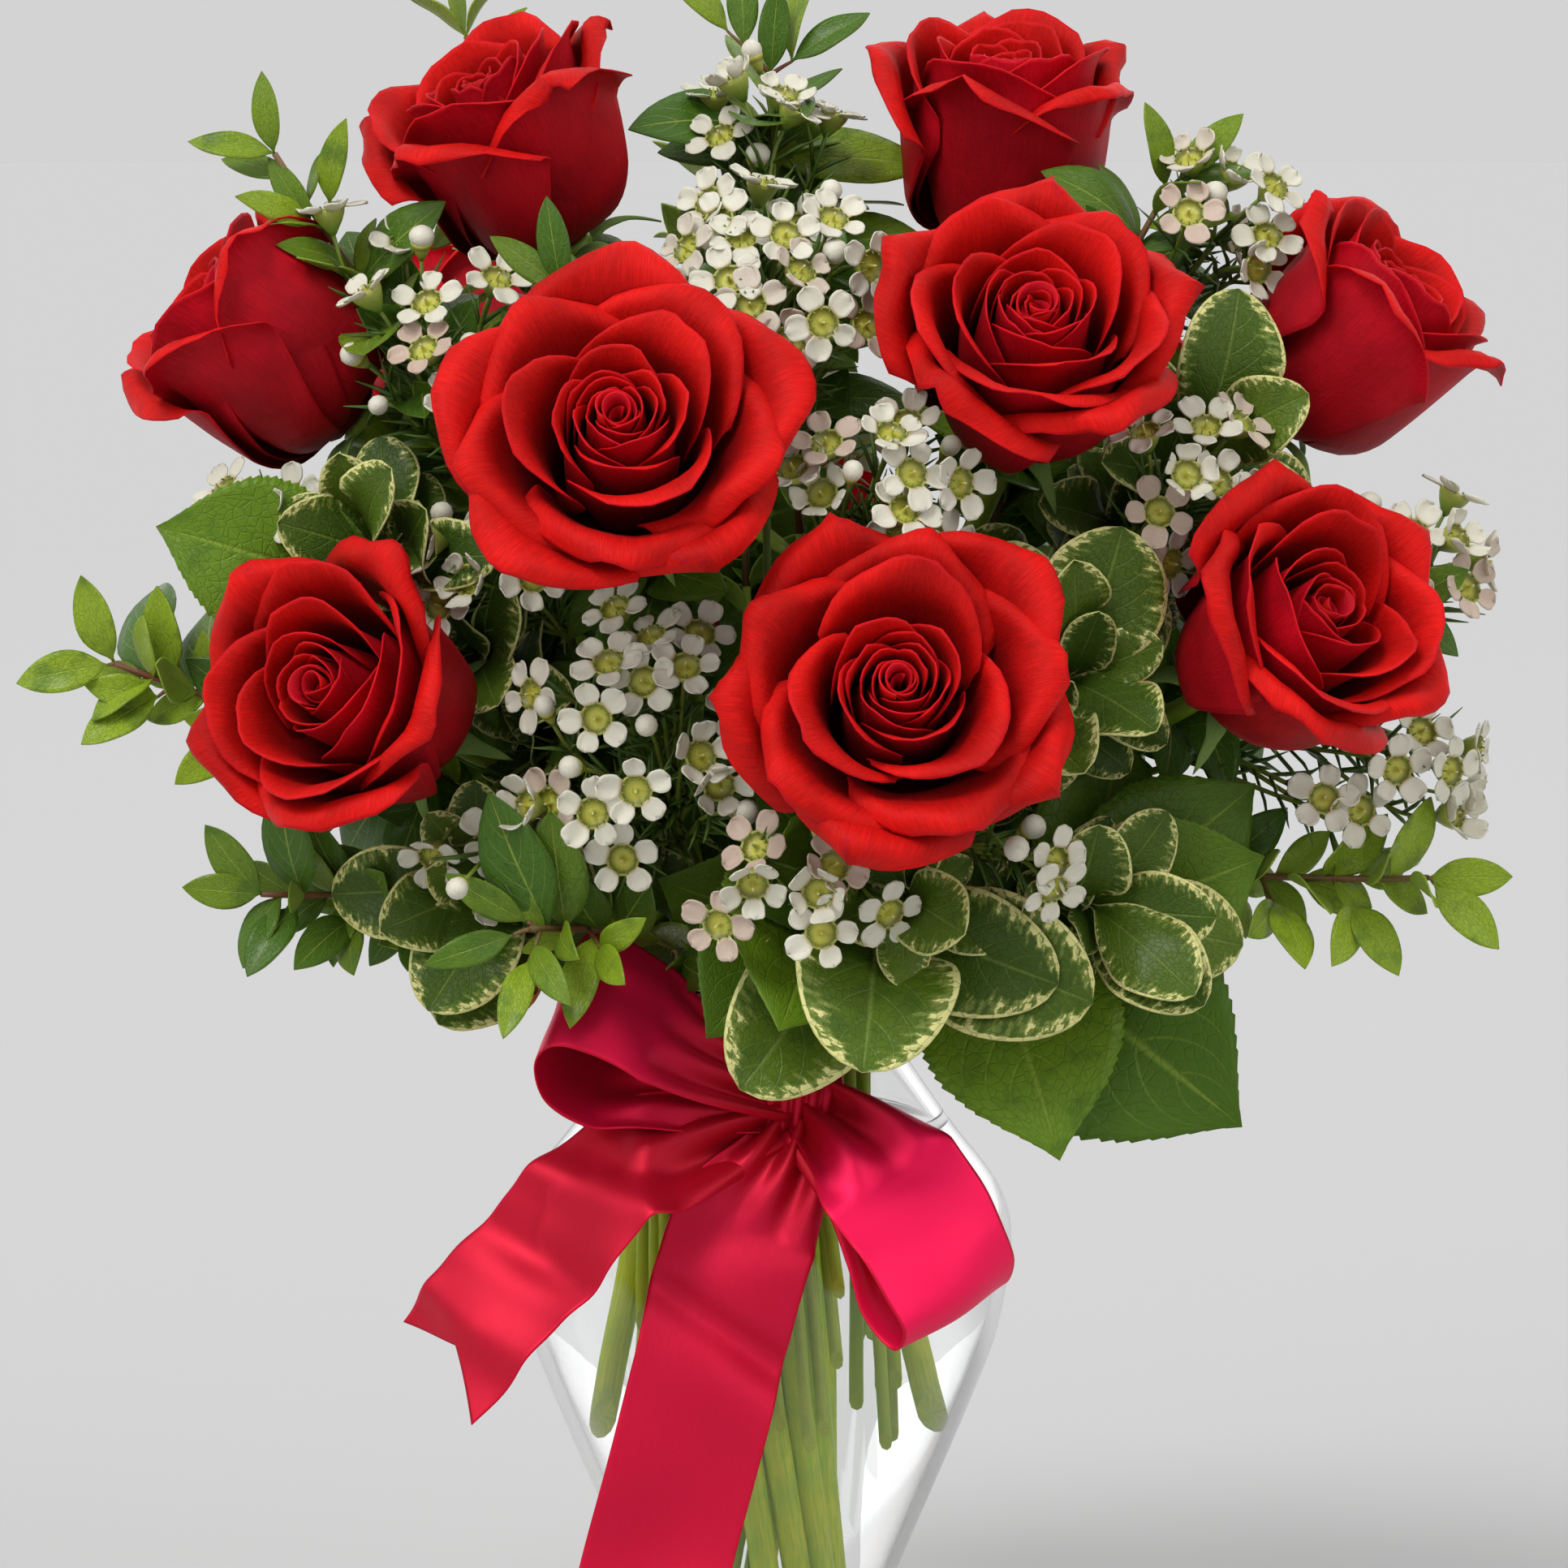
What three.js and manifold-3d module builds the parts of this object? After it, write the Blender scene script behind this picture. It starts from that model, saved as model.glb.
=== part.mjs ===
// A dozen red roses with mixed greens and waxflower in a clear glass vase, tied with a satin ribbon.
// Millimetres, +Z up. The origin is the centre of the vase's foot, and -Y is the front.

import * as THREE from "three";
import { LoftGeometry } from "three/addons/geometries/LoftGeometry.js";
import { mergeVertices } from "three/addons/utils/BufferGeometryUtils.js";
import ManifoldModule from "manifold-3d";

// ---------------------------------------------------------------- driving dimensions

const GAP = 0.35; // clearance between pieces that touch
const ROUND_SIDES = 20; // sides of the vase and of all that follows its wall

// Outside of the vase as [height, radius], from the foot to the rim.
const VASE_OUTSIDE = [
  [0, 38],
  [6, 38],
  [16, 33],
  [38, 28],
  [60, 35.5],
  [108, 55.7],
  [127, 62.3],
  [149, 65.5],
  [163, 62],
  [179, 50],
  [198, 37],
  [205, 34],
  [211, 37],
  [218, 43],
];
const GLASS = 3; // wall thickness
const INSIDE_HEIGHTS = [38, 60, 108, 149, 179, 205]; // rings of the hollow between its floor and the rim
const FLOOR_HEIGHT = 12; // top of the solid glass foot
const WATER_HEIGHT = 181;

const NECK_HEIGHT = 205; // plane of the vase's narrowest ring
const ROSE_RING = 17; // the rose stems pass the neck on this circle
const GREEN_RINGS = [27, 22]; // and the stems of the greens on these
const ROSE_STEM_RADIUS = 2.75;
const ROSE_CUT_HEIGHT = 14;
const ROSE_CUT_RING = 19;
const ROSE_STEM_TWIST = 90; // degrees from the neck down to the cut end
const ROSE_SLOT_START = 20; // azimuth of the first rose stem in the neck
const WIDE_CUT = { ring: 38, height: 100, twist: 20 }; // stems that lean on the belly
const GREEN_STEM_RADIUS = 1.5;
const TWIG_RADIUS = 0.7;

const BLOOM_HEIGHT = 32; // from a bloom's base to its middle
const HIP_TOP = -1.4; // the receptacle's top, just under the bloom's base
const STEM_TOP = 6; // a rose's stem ends this far under the top of its hip
// Rings of the hip: depth and radius between the sepals, then reach and depth along the sepals.
const HIP_PROFILE = [[12, 3.2, 3.2, 12], [3, 6, 25, 9], [0, 6, 6, 0]];

const RIBBON_WIDTH = 38;
const RIBBON_THICKNESS = 0.8;
const BAND_HEIGHTS = [199, 211];
const BAND_THICKNESS = 1.2;
const KNOT = [9, -48, 192];
const KNOT_SIZE = [11, 12, 11]; // half its width, depth and height

const PETAL_THICKNESS = 0.9;
const LEAF_THICKNESS = 0.8;
const FLORET_RADIUS = 9.5;
const FLORET_NOTCH = 5.5; // radius between two petals
const FLORET_DEPTH = 5; // from the petals down to the foot of the cup
const LOBE_HALF = THREE.MathUtils.degToRad(17); // half the breadth of a petal's end
const BUD_RADIUS = 3.8;
const BUD_SHARE = 0.22; // of a head's flowers are still buds
const SHOWN_FLOWERS = 4; // one of so many flowers of a head is built
const HEAD_DOME = 14; // height of a waxflower head's dome
const HEAD_JITTER = 8;
const TWIG_LENGTH = 38;
const TWIG_ANGLE = 30; // degrees between a twig and its stem

const ROSE_STEM_SIDES = 5;
const GREEN_STEM_SIDES = 3;
const ROSE_STEM_STEPS = 4; // straight pieces of a stem above the neck
const GREEN_STEM_STEPS = 3;
const ROSE_LIFT = 0.36; // how long a stem keeps its way out of the neck, as a share of its reach
const ARRIVAL_REACH = 0.3;
const GREEN_CUT_HEIGHTS = [80, 150];
const GREEN_STEM_TWIST = 20;
const ROOTS_FROM = 0.5; // leaves and twigs start beyond this share of a stem
const ROOTS_STEP = 0.05;
const FRONT_HALF = 20; // what lies before this Y looks to the front

// Routes that a green's stem tries: its turn round the neck in degrees, the ring it stands on there, and
// how far it rises first.
const TURNS = [0, 7, -7, 14, -14, 21, -21, 28, -28, 36, -36, 45, -45, 55, -55];
const STEM_ROUTES = [0.35, 0.5, 0.22, 0.65].flatMap((lift) => (
  GREEN_RINGS.flatMap((ring) => TURNS.map((turn) => [turn, ring, lift]))
));
// Ways that a leaf's tip tries, as shares of its length: towards its facing, and sideways.
const SWINGS = [0, 0.25, -0.25, 0.5, -0.5, 0.8].flatMap((ahead) => (
  [0, 0.3, -0.3, 0.65, -0.65].map((sideways) => [ahead, sideways])
));
const HEAD_SHIFTS = [0, 6, -6, 12, -12, 18, -18]; // places that a floret tries along its facing

// ---------------------------------------------------------------- layout

// centre: middle of the bloom. axis: where it looks. open: 0 half open, 1 fully open.
const ROSES = [
  { name: "rose_top_right", centre: [62, 5, 442], axis: [0.05, -0.3, 0.95], open: 0.2, spin: 20 },
  { name: "rose_back_right", centre: [75, 100, 385], axis: [0.35, 0.65, 0.65], open: 0.5, spin: 0 },
  { name: "rose_back_low", centre: [0, 128, 310], axis: [0, 0.9, 0.4], open: 0.9, spin: 50 },
  { name: "rose_back_left", centre: [-80, 95, 375], axis: [-0.4, 0.65, 0.6], open: 0.4, spin: 10 },
  { name: "rose_top_left", centre: [-66, -15, 439], axis: [-0.45, -0.3, 0.84], open: 0.35, spin: 0 },
  { name: "rose_left", centre: [-131, -20, 386], axis: [-0.78, -0.1, 0.6], open: 0.1, spin: 30, wide: true },
  { name: "rose_low_left", centre: [-104, -80, 299], axis: [-0.5, -0.8, 0.3], open: 0.4, spin: 60 },
  { name: "rose_centre_left", centre: [-35, -105, 366], axis: [0, -0.85, 0.5], open: 1, spin: 15 },
  { name: "rose_front", centre: [33, -118, 303], axis: [0.05, -0.92, 0.38], open: 1, spin: 40 },
  { name: "rose_centre_right", centre: [67, -75, 388], axis: [0.1, -0.75, 0.65], open: 0.65, spin: 5 },
  { name: "rose_low_right", centre: [135, -72, 316], axis: [0.5, -0.7, 0.45], open: 0.4, spin: 25 },
  { name: "rose_right", centre: [154, -15, 389], axis: [0.65, -0.3, 0.7], open: 0.15, spin: 50, wide: true },
];

// Petal layers from the outside in. Each pair is the half-open and the fully open bloom: length and half
// width in millimetres, and lean, the slope of the petal at its root, waist, shoulder and rim in degrees.
// spiral: one edge of a petal lies this far outside its middle, and the other as far inside.
const PETAL_LAYERS = [
  {
    count: 5, root: 8, turn: 0, spiral: 3.6, columns: 2, rows: [0, 0.33, 0.75, 1], length: [64, 61], half: [23, 25],
    lean: [[5, 82, 96, 8], [8, 68, 46, -30]],
  },
  {
    count: 3, root: 5, turn: 40, spiral: 1.6, columns: 2, rows: [0, 0.5, 1], length: [62, 58], half: [17, 21],
    lean: [[22, 86, 94, 70], [18, 84, 72, 25]],
  },
];
const PETAL_WAIST = 0.35; // where along the petal the lean's middle values hold
const PETAL_SHOULDER = 0.75;
const PETAL_BROAD = 0.6; // from here to the rim the petal has its full width
const RIM_DROP = 0.26; // the rim is lower at the petal's corners than at its middle
const EDGE_ROLL = 4; // the outer corners roll out by this much
const BUD_PROFILE = [[-1, 10], [8, 14], [30, 13], [52, 7]]; // [height, radius] of the furled heart
const BUD_SIDES = 5;
const BUD_TWIST = 72; // degrees over the bud's height

// Leaves of each kind: usual length, angle to the stem, breadth by length, and the outline as
// [share of the length, share of the half breadth].
const LEAF_KINDS = {
  salal: {
    length: 56, angle: 45, broad: 0.8, arch: 0.06, fold: 0.12, columns: 3,
    outline: [[0, 0], [0.1, 0.06], [0.36, 0.98], [0.42, 0.86], [0.64, 0.9], [0.7, 0.72], [1, 0]],
  },
  pittosporum: {
    length: 40, angle: 50, broad: 0.66, arch: 0.08, fold: 0, columns: 2,
    outline: [[0, 0], [0.15, 0.12], [0.5, 0.88], [0.82, 0.92], [1, 0]],
  },
  huckleberry: {
    length: 24, angle: 50, broad: 0.5, arch: 0.06, fold: 0, columns: 2,
    outline: [[0, 0], [0.32, 0.9], [0.68, 0.85], [1, 0]],
  },
};

// Each spray's stem ends at its end. Leaves have their tips here, and waxflowers their heads: the middle,
// the half width and half height, and the number of florets and buds.
const SPRAYS = [
  { name: "salal_right", kind: "salal", end: [76, -56, 238],
    tips: [[75, -80, 182], [122, -64, 188], [128, -52, 256], [110, -30, 206]] },
  { name: "salal_front", kind: "salal", end: [21, -64, 256],
    tips: [[24, -112, 222], [-14, -86, 214], [-30, -64, 238]] },
  { name: "salal_left", kind: "salal", end: [-104, -44, 324],
    tips: [[-154, -50, 340], [-130, -30, 290], [-84, -20, 280]] },
  { name: "salal_back", kind: "salal", end: [0, 70, 262],
    tips: [[-46, 104, 232], [44, 106, 228], [-6, 116, 214], [70, 84, 256], [-74, 80, 254]] },
  { name: "pittosporum_front", kind: "pittosporum", end: [37, -85, 250],
    tips: [[20, -104, 194, 1.4], [50, -102, 208], [72, -96, 208], [-6, -112, 240], [50, -116, 244]] },
  { name: "pittosporum_low_right", kind: "pittosporum", end: [82, -70, 246],
    tips: [[108, -94, 226], [114, -82, 244], [88, -102, 218], [122, -60, 234], [74, -98, 264], [102, -76, 270]] },
  { name: "pittosporum_right", kind: "pittosporum", end: [76, -64, 302],
    tips: [[90, -80, 342, 1.3], [60, -76, 338], [98, -94, 292], [80, -98, 282], [102, -62, 322]] },
  { name: "pittosporum_upper_right", kind: "pittosporum", end: [110, -36, 356],
    tips: [[121, -42, 400, 1.1], [138, -56, 374], [140, -40, 346], [94, -34, 386], [128, -56, 340]] },
  { name: "pittosporum_left", kind: "pittosporum", end: [-96, -46, 334],
    tips: [[-122, -66, 342], [-84, -76, 346], [-66, -64, 330], [-98, -34, 362]] },
  { name: "pittosporum_low_left", kind: "pittosporum", end: [-70, -56, 250],
    tips: [[-84, -80, 220], [-56, -84, 218], [-110, -50, 246], [-96, -78, 240], [-44, -84, 244]] },
  { name: "pittosporum_back_left", kind: "pittosporum", end: [-70, 66, 306],
    tips: [[-100, 94, 290], [-58, 106, 300], [-106, 62, 322], [-44, 86, 334], [-84, 84, 274]] },
  { name: "pittosporum_back_right", kind: "pittosporum", end: [74, 66, 296],
    tips: [[104, 92, 282], [58, 104, 284], [108, 58, 314], [50, 88, 324], [88, 84, 262]] },
  { name: "huckleberry_far_left", kind: "huckleberry", end: [-166, -38, 304],
    tips: [[-191, -40, 299], [-174, -42, 327], [-174, -46, 284], [-155, -38, 324], [-150, -48, 274]] },
  { name: "huckleberry_low_left", kind: "huckleberry", end: [-128, -50, 246],
    tips: [[-148, -52, 248], [-142, -52, 264], [-131, -60, 226], [-110, -64, 226], [-90, -64, 228],
      [-116, -50, 267]] },
  { name: "huckleberry_bottom", kind: "huckleberry", end: [-58, -90, 242],
    tips: [[-84, -98, 234], [-79, -90, 256], [-64, -108, 217], [-34, -104, 230]] },
  { name: "huckleberry_top_left", kind: "huckleberry", end: [-125, -25, 434],
    tips: [[-147, -26, 437], [-128, -26, 455], [-138, -32, 420], [-124, -36, 411], [-106, -34, 443]] },
  { name: "huckleberry_top", kind: "huckleberry", end: [-78, 24, 464],
    tips: [[-95, 20, 476], [-80, 22, 487], [-64, 20, 483], [-60, 24, 468]] },
  { name: "huckleberry_top_centre", kind: "huckleberry", end: [2, 14, 454],
    tips: [[-26, 12, 482], [4, 12, 478], [28, 16, 470], [20, 4, 444]] },
  { name: "huckleberry_top_right", kind: "huckleberry", end: [104, -14, 424],
    tips: [[98, -22, 447], [124, -12, 444], [92, -32, 412], [122, -20, 418]] },
  { name: "huckleberry_low_right", kind: "huckleberry", end: [170, -48, 250],
    tips: [[138, -60, 228], [162, -58, 226], [188, -52, 232], [160, -44, 266], [192, -46, 250]] },
  { name: "huckleberry_right", kind: "huckleberry", end: [160, -32, 318],
    tips: [[181, -36, 328], [178, -40, 306], [167, -26, 340]] },
  { name: "huckleberry_middle", kind: "huckleberry", end: [-50, -66, 400],
    tips: [[-68, -70, 414], [-54, -66, 424], [-32, -74, 412]] },
  { name: "huckleberry_back", kind: "huckleberry", end: [-10, 66, 420],
    tips: [[-30, 74, 436], [-6, 76, 444], [10, 82, 426], [-30, 84, 410]] },
  { name: "waxflower_upper", kind: "waxflower", end: [1, -24, 396],
    heads: [{ centre: [2, -62, 408], wide: 31, tall: 27, count: 20 },
      { centre: [0, -6, 446], wide: 22, tall: 14, count: 8 }] },
  { name: "waxflower_centre", kind: "waxflower", end: [20, -60, 328],
    heads: [{ centre: [31, -96, 354], wide: 28, tall: 20, count: 13 }] },
  { name: "waxflower_right", kind: "waxflower", end: [92, -38, 326],
    heads: [{ centre: [110, -70, 350], wide: 17, tall: 22, count: 9 }] },
  { name: "waxflower_far_right", kind: "waxflower", end: [148, -28, 290],
    heads: [{ centre: [174, -34, 334], wide: 18, tall: 24, count: 7 },
      { centre: [168, -42, 274], wide: 28, tall: 22, count: 10 }] },
  { name: "waxflower_left", kind: "waxflower", end: [-22, -56, 264],
    heads: [{ centre: [-32, -92, 290], wide: 34, tall: 34, count: 20 }] },
  { name: "waxflower_low", kind: "waxflower", end: [24, -62, 261],
    heads: [{ centre: [8, -112, 252], wide: 28, tall: 14, count: 7 },
      { centre: [68, -100, 260], wide: 13, tall: 9, count: 4 }] },
  { name: "waxflower_upper_left", kind: "waxflower", end: [-78, -30, 356],
    heads: [{ centre: [-89, -46, 394], wide: 26, tall: 32, count: 11 },
      { centre: [-130, -44, 348], wide: 12, tall: 8, count: 3 }] },
  { name: "waxflower_mid_left", kind: "waxflower", end: [-51, -44, 312],
    heads: [{ centre: [-74, -66, 334], wide: 24, tall: 14, count: 9 },
      { centre: [-74, -76, 256], wide: 19, tall: 13, count: 6 }] },
  { name: "waxflower_high_right", kind: "waxflower", end: [96, 14, 384],
    heads: [{ centre: [124, -22, 420], wide: 22, tall: 16, count: 8 }] },
  { name: "waxflower_back", kind: "waxflower", end: [-4, 69, 339],
    heads: [{ centre: [0, 104, 366], wide: 34, tall: 24, count: 14 },
      { centre: [-62, 100, 300], wide: 26, tall: 20, count: 8 }] },
];

// The bow's strips from the knot outwards: places along the middle, half widths, and the way of the width.
const FULL = RIBBON_WIDTH / 2;
const LEFT_LOOP_WAY = [0.21, 0.71, 0.66];
const RIGHT_LOOP_WAY = [0.82, 0.45, 0.32];
const CENTRE_TAIL_WAY = [0.97, 0.05, -0.24];
const RIBBON_STRIPS = [
  { name: "left_loop", notch: 0, line: [
    { at: [8, -54, 195], half: 8, way: [0, 0.4, 0.9] },
    { at: [-12, -68, 209], half: 15, way: LEFT_LOOP_WAY },
    { at: [-33, -71, 220], half: FULL, way: LEFT_LOOP_WAY },
    { at: [-47, -71, 225], half: FULL, way: LEFT_LOOP_WAY },
    { at: [-53, -70, 219], half: FULL, way: LEFT_LOOP_WAY },
    { at: [-49, -70, 209], half: FULL, way: LEFT_LOOP_WAY },
    { at: [-36, -70, 203], half: FULL, way: LEFT_LOOP_WAY },
    { at: [-18, -67, 201], half: 15, way: LEFT_LOOP_WAY },
    { at: [6, -54, 193], half: 8, way: [0, 0.4, 0.9] },
  ] },
  { name: "right_loop", notch: 0, line: [
    { at: [12, -54, 193], half: 8, way: [0.5, 0.5, 0.7] },
    { at: [26, -76, 187], half: 15, way: RIGHT_LOOP_WAY },
    { at: [37, -86, 174], half: FULL, way: RIGHT_LOOP_WAY },
    { at: [42, -89, 160], half: FULL, way: RIGHT_LOOP_WAY },
    { at: [46, -87, 147], half: FULL, way: RIGHT_LOOP_WAY },
    { at: [43, -80, 141], half: FULL, way: RIGHT_LOOP_WAY },
    { at: [36, -75, 151], half: 17, way: RIGHT_LOOP_WAY },
    { at: [26, -71, 168], half: 13, way: RIGHT_LOOP_WAY },
    { at: [11, -56, 188], half: 8, way: [0.7, 0.3, 0.5] },
  ] },
  { name: "left_tail", notch: 12, line: [
    { at: [6, -56, 190], half: 8, way: [-0.2, 0, 1] },
    { at: [-14, -65, 185], half: 14, way: [-0.3, -0.1, 0.95] },
    { at: [-33, -71, 178], half: FULL, way: [-0.4, 0, 0.9] },
    { at: [-51, -75, 166], half: FULL, way: [-0.6, 0.1, 0.8] },
    { at: [-62, -72, 149], half: FULL, way: [-0.75, 0, 0.66] },
    { at: [-72, -68, 136], half: FULL, way: [-0.75, 0, 0.66] },
    { at: [-83, -65, 124], half: FULL, way: [-0.75, 0, 0.66] },
  ] },
  { name: "centre_tail", notch: 12, line: [
    { at: [9, -57, 189], half: 8, way: [1, 0, 0.1] },
    { at: [4, -65, 177], half: 14, way: [0.98, 0.1, -0.1] },
    { at: [-4, -69, 163], half: FULL, way: CENTRE_TAIL_WAY },
    { at: [-9, -70.5, 148], half: FULL, way: CENTRE_TAIL_WAY },
    { at: [-14, -71, 127], half: FULL, way: CENTRE_TAIL_WAY },
    { at: [-20, -72, 103], half: FULL, way: CENTRE_TAIL_WAY },
    { at: [-26, -72, 80], half: FULL, way: CENTRE_TAIL_WAY },
    { at: [-30, -72, 64], half: FULL, way: CENTRE_TAIL_WAY },
  ] },
];

// ---------------------------------------------------------------- vectors and random numbers

const FRONT = new THREE.Vector3(0, -1, 0.25).normalize();
const UP = new THREE.Vector3(0, 0, 1);
const BOUQUET_HEART = new THREE.Vector3(0, 0, 290);

const vector = ([x, y, z]) => new THREE.Vector3(x, y, z);
const radians = THREE.MathUtils.degToRad;
const mix = THREE.MathUtils.lerp;

/** The point at a radius, an azimuth in degrees and a height. */
function polar(radius, azimuth, height) {
  const angle = radians(azimuth);
  return new THREE.Vector3(radius * Math.cos(angle), radius * Math.sin(angle), height);
}

/** A source of random numbers from 0 to 1 that gives the same run for the same seed. */
function seeded(seed) {
  let state = (seed * 7919 + 17) % 2147483647;
  return () => {
    state = (state * 16807) % 2147483647;
    return state / 2147483647;
  };
}

/** Two directions across an axis: the first is level unless the axis is upright. */
function across(axis) {
  const helper = Math.abs(axis.z) > 0.97 ? new THREE.Vector3(1, 0, 0) : UP;
  const side = new THREE.Vector3().crossVectors(helper, axis).normalize();
  return [side, new THREE.Vector3().crossVectors(axis, side)];
}

// ---------------------------------------------------------------- solids

const wasm = await ManifoldModule();
wasm.setup();

/** A closed geometry as a solid that can be joined, cut and measured. */
function solidOf(geometry) {
  const bare = new THREE.BufferGeometry();
  bare.setAttribute("position", geometry.getAttribute("position"));
  bare.setIndex(geometry.index);
  const merged = mergeVertices(bare, 1e-3);
  const index = merged.index.array;
  const corners = [];
  for (let i = 0; i < index.length; i += 3) {
    const [a, b, c] = [index[i], index[i + 1], index[i + 2]];
    if (a !== b && b !== c && c !== a) corners.push(a, b, c);
  }
  return new wasm.Manifold(new wasm.Mesh({
    numProp: 3,
    vertProperties: new Float32Array(merged.attributes.position.array),
    triVerts: new Uint32Array(corners),
  }));
}

/** A solid as a geometry. */
function geometryOf(solid) {
  const { vertProperties, triVerts } = solid.getMesh();
  const geometry = new THREE.BufferGeometry();
  geometry.setAttribute("position", new THREE.BufferAttribute(new Float32Array(vertProperties), 3));
  geometry.setIndex(new THREE.BufferAttribute(new Uint32Array(triVerts), 1));
  geometry.computeVertexNormals();
  return geometry;
}

/** Several solids fused into one, with slivers cleaned away and loose scraps dropped. */
function fuse(solids) {
  const joined = wasm.Manifold.union(solids).simplify(0.02);
  const bodies = solidOf(geometryOf(joined)).decompose();
  return bodies.reduce((largest, body) => (body.volume() > largest.volume() ? body : largest));
}

// ---------------------------------------------------------------- forms

/** A round stem along a path, with a radius at each of its points. */
function stem(path, radii, sides) {
  let [side] = across(new THREE.Vector3().subVectors(path[1], path[0]).normalize());
  const sections = path.map((centre, i) => {
    const before = path[Math.max(i - 1, 0)];
    const after = path[Math.min(i + 1, path.length - 1)];
    const along = new THREE.Vector3().subVectors(after, before).normalize();
    side = side.clone().addScaledVector(along, -side.dot(along)).normalize();
    const up = new THREE.Vector3().crossVectors(along, side);
    return Array.from({ length: sides }, (_, k) => {
      const angle = (k / sides) * 2 * Math.PI;
      return centre.clone()
        .addScaledVector(side, radii[i] * Math.cos(angle))
        .addScaledVector(up, radii[i] * Math.sin(angle));
    });
  });
  return solidOf(new LoftGeometry(sections, { capStart: true, capEnd: true }));
}

/** The direction square to a net of points at one of them. A row that closes to a point has one direction. */
function squareTo(rows, i, j) {
  const last = rows[i].length - 1;
  const closed = rows[i][0].distanceTo(rows[i][last]) < 1e-6;
  const other = i === 0 ? 1 : i - 1;
  const [row, at] = closed ? [rows[other], last >> 1] : [rows[i], j];
  const [left, right] = closed ? [0, last] : [Math.max(j - 1, 0), Math.min(j + 1, last)];
  const sideways = new THREE.Vector3().subVectors(row[right], row[left]);
  const ahead = new THREE.Vector3().subVectors(
    rows[Math.min(i + 1, rows.length - 1)][at],
    rows[Math.max(i - 1, 0)][at],
  );
  return sideways.cross(ahead).normalize();
}

/** A thin blade over a net of points: both faces are split along the same diagonals, and a rim joins them. */
function blade(rows, thickness) {
  const columns = rows[0].length;
  const positions = [];
  for (const face of [0.5, -0.5]) {
    rows.forEach((row, i) => row.forEach((point, j) => {
      const offset = squareTo(rows, i, j).multiplyScalar(face * thickness);
      positions.push(...point.clone().add(offset).toArray());
    }));
  }
  const at = (i, j, face) => face * rows.length * columns + i * columns + j;
  const index = [];
  const quad = (a, b, c, d) => index.push(a, b, c, a, c, d);
  for (let i = 0; i + 1 < rows.length; i += 1) {
    for (let j = 0; j + 1 < columns; j += 1) {
      quad(at(i, j, 0), at(i, j + 1, 0), at(i + 1, j + 1, 0), at(i + 1, j, 0));
      index.push(at(i, j, 1), at(i + 1, j + 1, 1), at(i, j + 1, 1));
      index.push(at(i, j, 1), at(i + 1, j, 1), at(i + 1, j + 1, 1));
    }
    const right = columns - 1;
    quad(at(i, 0, 0), at(i + 1, 0, 0), at(i + 1, 0, 1), at(i, 0, 1));
    quad(at(i, right, 0), at(i, right, 1), at(i + 1, right, 1), at(i + 1, right, 0));
  }
  const top = rows.length - 1;
  for (let j = 0; j + 1 < columns; j += 1) {
    quad(at(0, j, 0), at(0, j, 1), at(0, j + 1, 1), at(0, j + 1, 0));
    quad(at(top, j, 0), at(top, j + 1, 0), at(top, j + 1, 1), at(top, j, 1));
  }
  const geometry = new THREE.BufferGeometry();
  geometry.setAttribute("position", new THREE.Float32BufferAttribute(positions, 3));
  geometry.setIndex(index);
  return solidOf(geometry);
}

/** A profile of [height, radius] pairs, from the axis and back to it, turned round the Z axis. */
function turned(profile) {
  const points = profile.map(([height, radius]) => new THREE.Vector2(radius, height));
  return solidOf(new LatheGeometryUpright(points));
}

/** A lathe whose axis is Z. */
class LatheGeometryUpright extends THREE.LatheGeometry {
  constructor(points) {
    super(points, ROUND_SIDES);
    this.rotateX(Math.PI / 2);
  }
}

// ---------------------------------------------------------------- roses

/** The slope of a petal, in degrees, at a share of its length. */
function leanAt(lean, share) {
  const marks = [0, PETAL_WAIST, PETAL_SHOULDER, 1];
  const k = share < marks[1] ? 0 : share < marks[2] ? 1 : 2;
  const local = (share - marks[k]) / (marks[k + 1] - marks[k]);
  return mix(lean[k], lean[k + 1], local * local * (3 - 2 * local));
}

/** The petals of one layer of a bloom, each as its own draw of sizes. */
function petalsOf(rose, roseIndex, layerIndex) {
  const layer = PETAL_LAYERS[layerIndex];
  return Array.from({ length: layer.count }, (_, k) => {
    const random = seeded(1000 * roseIndex + 50 * layerIndex + k + 1);
    const vary = (amount) => (random() - 0.5) * 2 * amount;
    const length = mix(...layer.length, rose.open) * (1 + vary(0.03));
    const lean = layer.lean[0].map((closed, m) => mix(closed, layer.lean[1][m], rose.open));
    lean[2] += vary(2);
    lean[3] += vary(6);
    return {
      root: layer.root,
      spiral: layer.spiral,
      length,
      lean,
      half: mix(...layer.half, rose.open) * (1 + vary(0.06)),
      azimuth: rose.spin + layer.turn + (360 / layer.count) * k + vary(3),
      roll: EDGE_ROLL * (layerIndex === 0 ? 1 : 0.4) * (1 + vary(0.4)),
    };
  });
}

/** The petal's middle line as [radius, height] at even steps of its length. */
function middleLine(petal, steps = 40) {
  const line = [[petal.root, 1]];
  for (let k = 0; k < steps; k += 1) {
    const slope = radians(leanAt(petal.lean, (k + 0.5) / steps));
    const [radius, height] = line[k];
    const step = petal.length / steps;
    line.push([radius + step * Math.cos(slope), height + step * Math.sin(slope)]);
  }
  return line;
}

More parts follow.
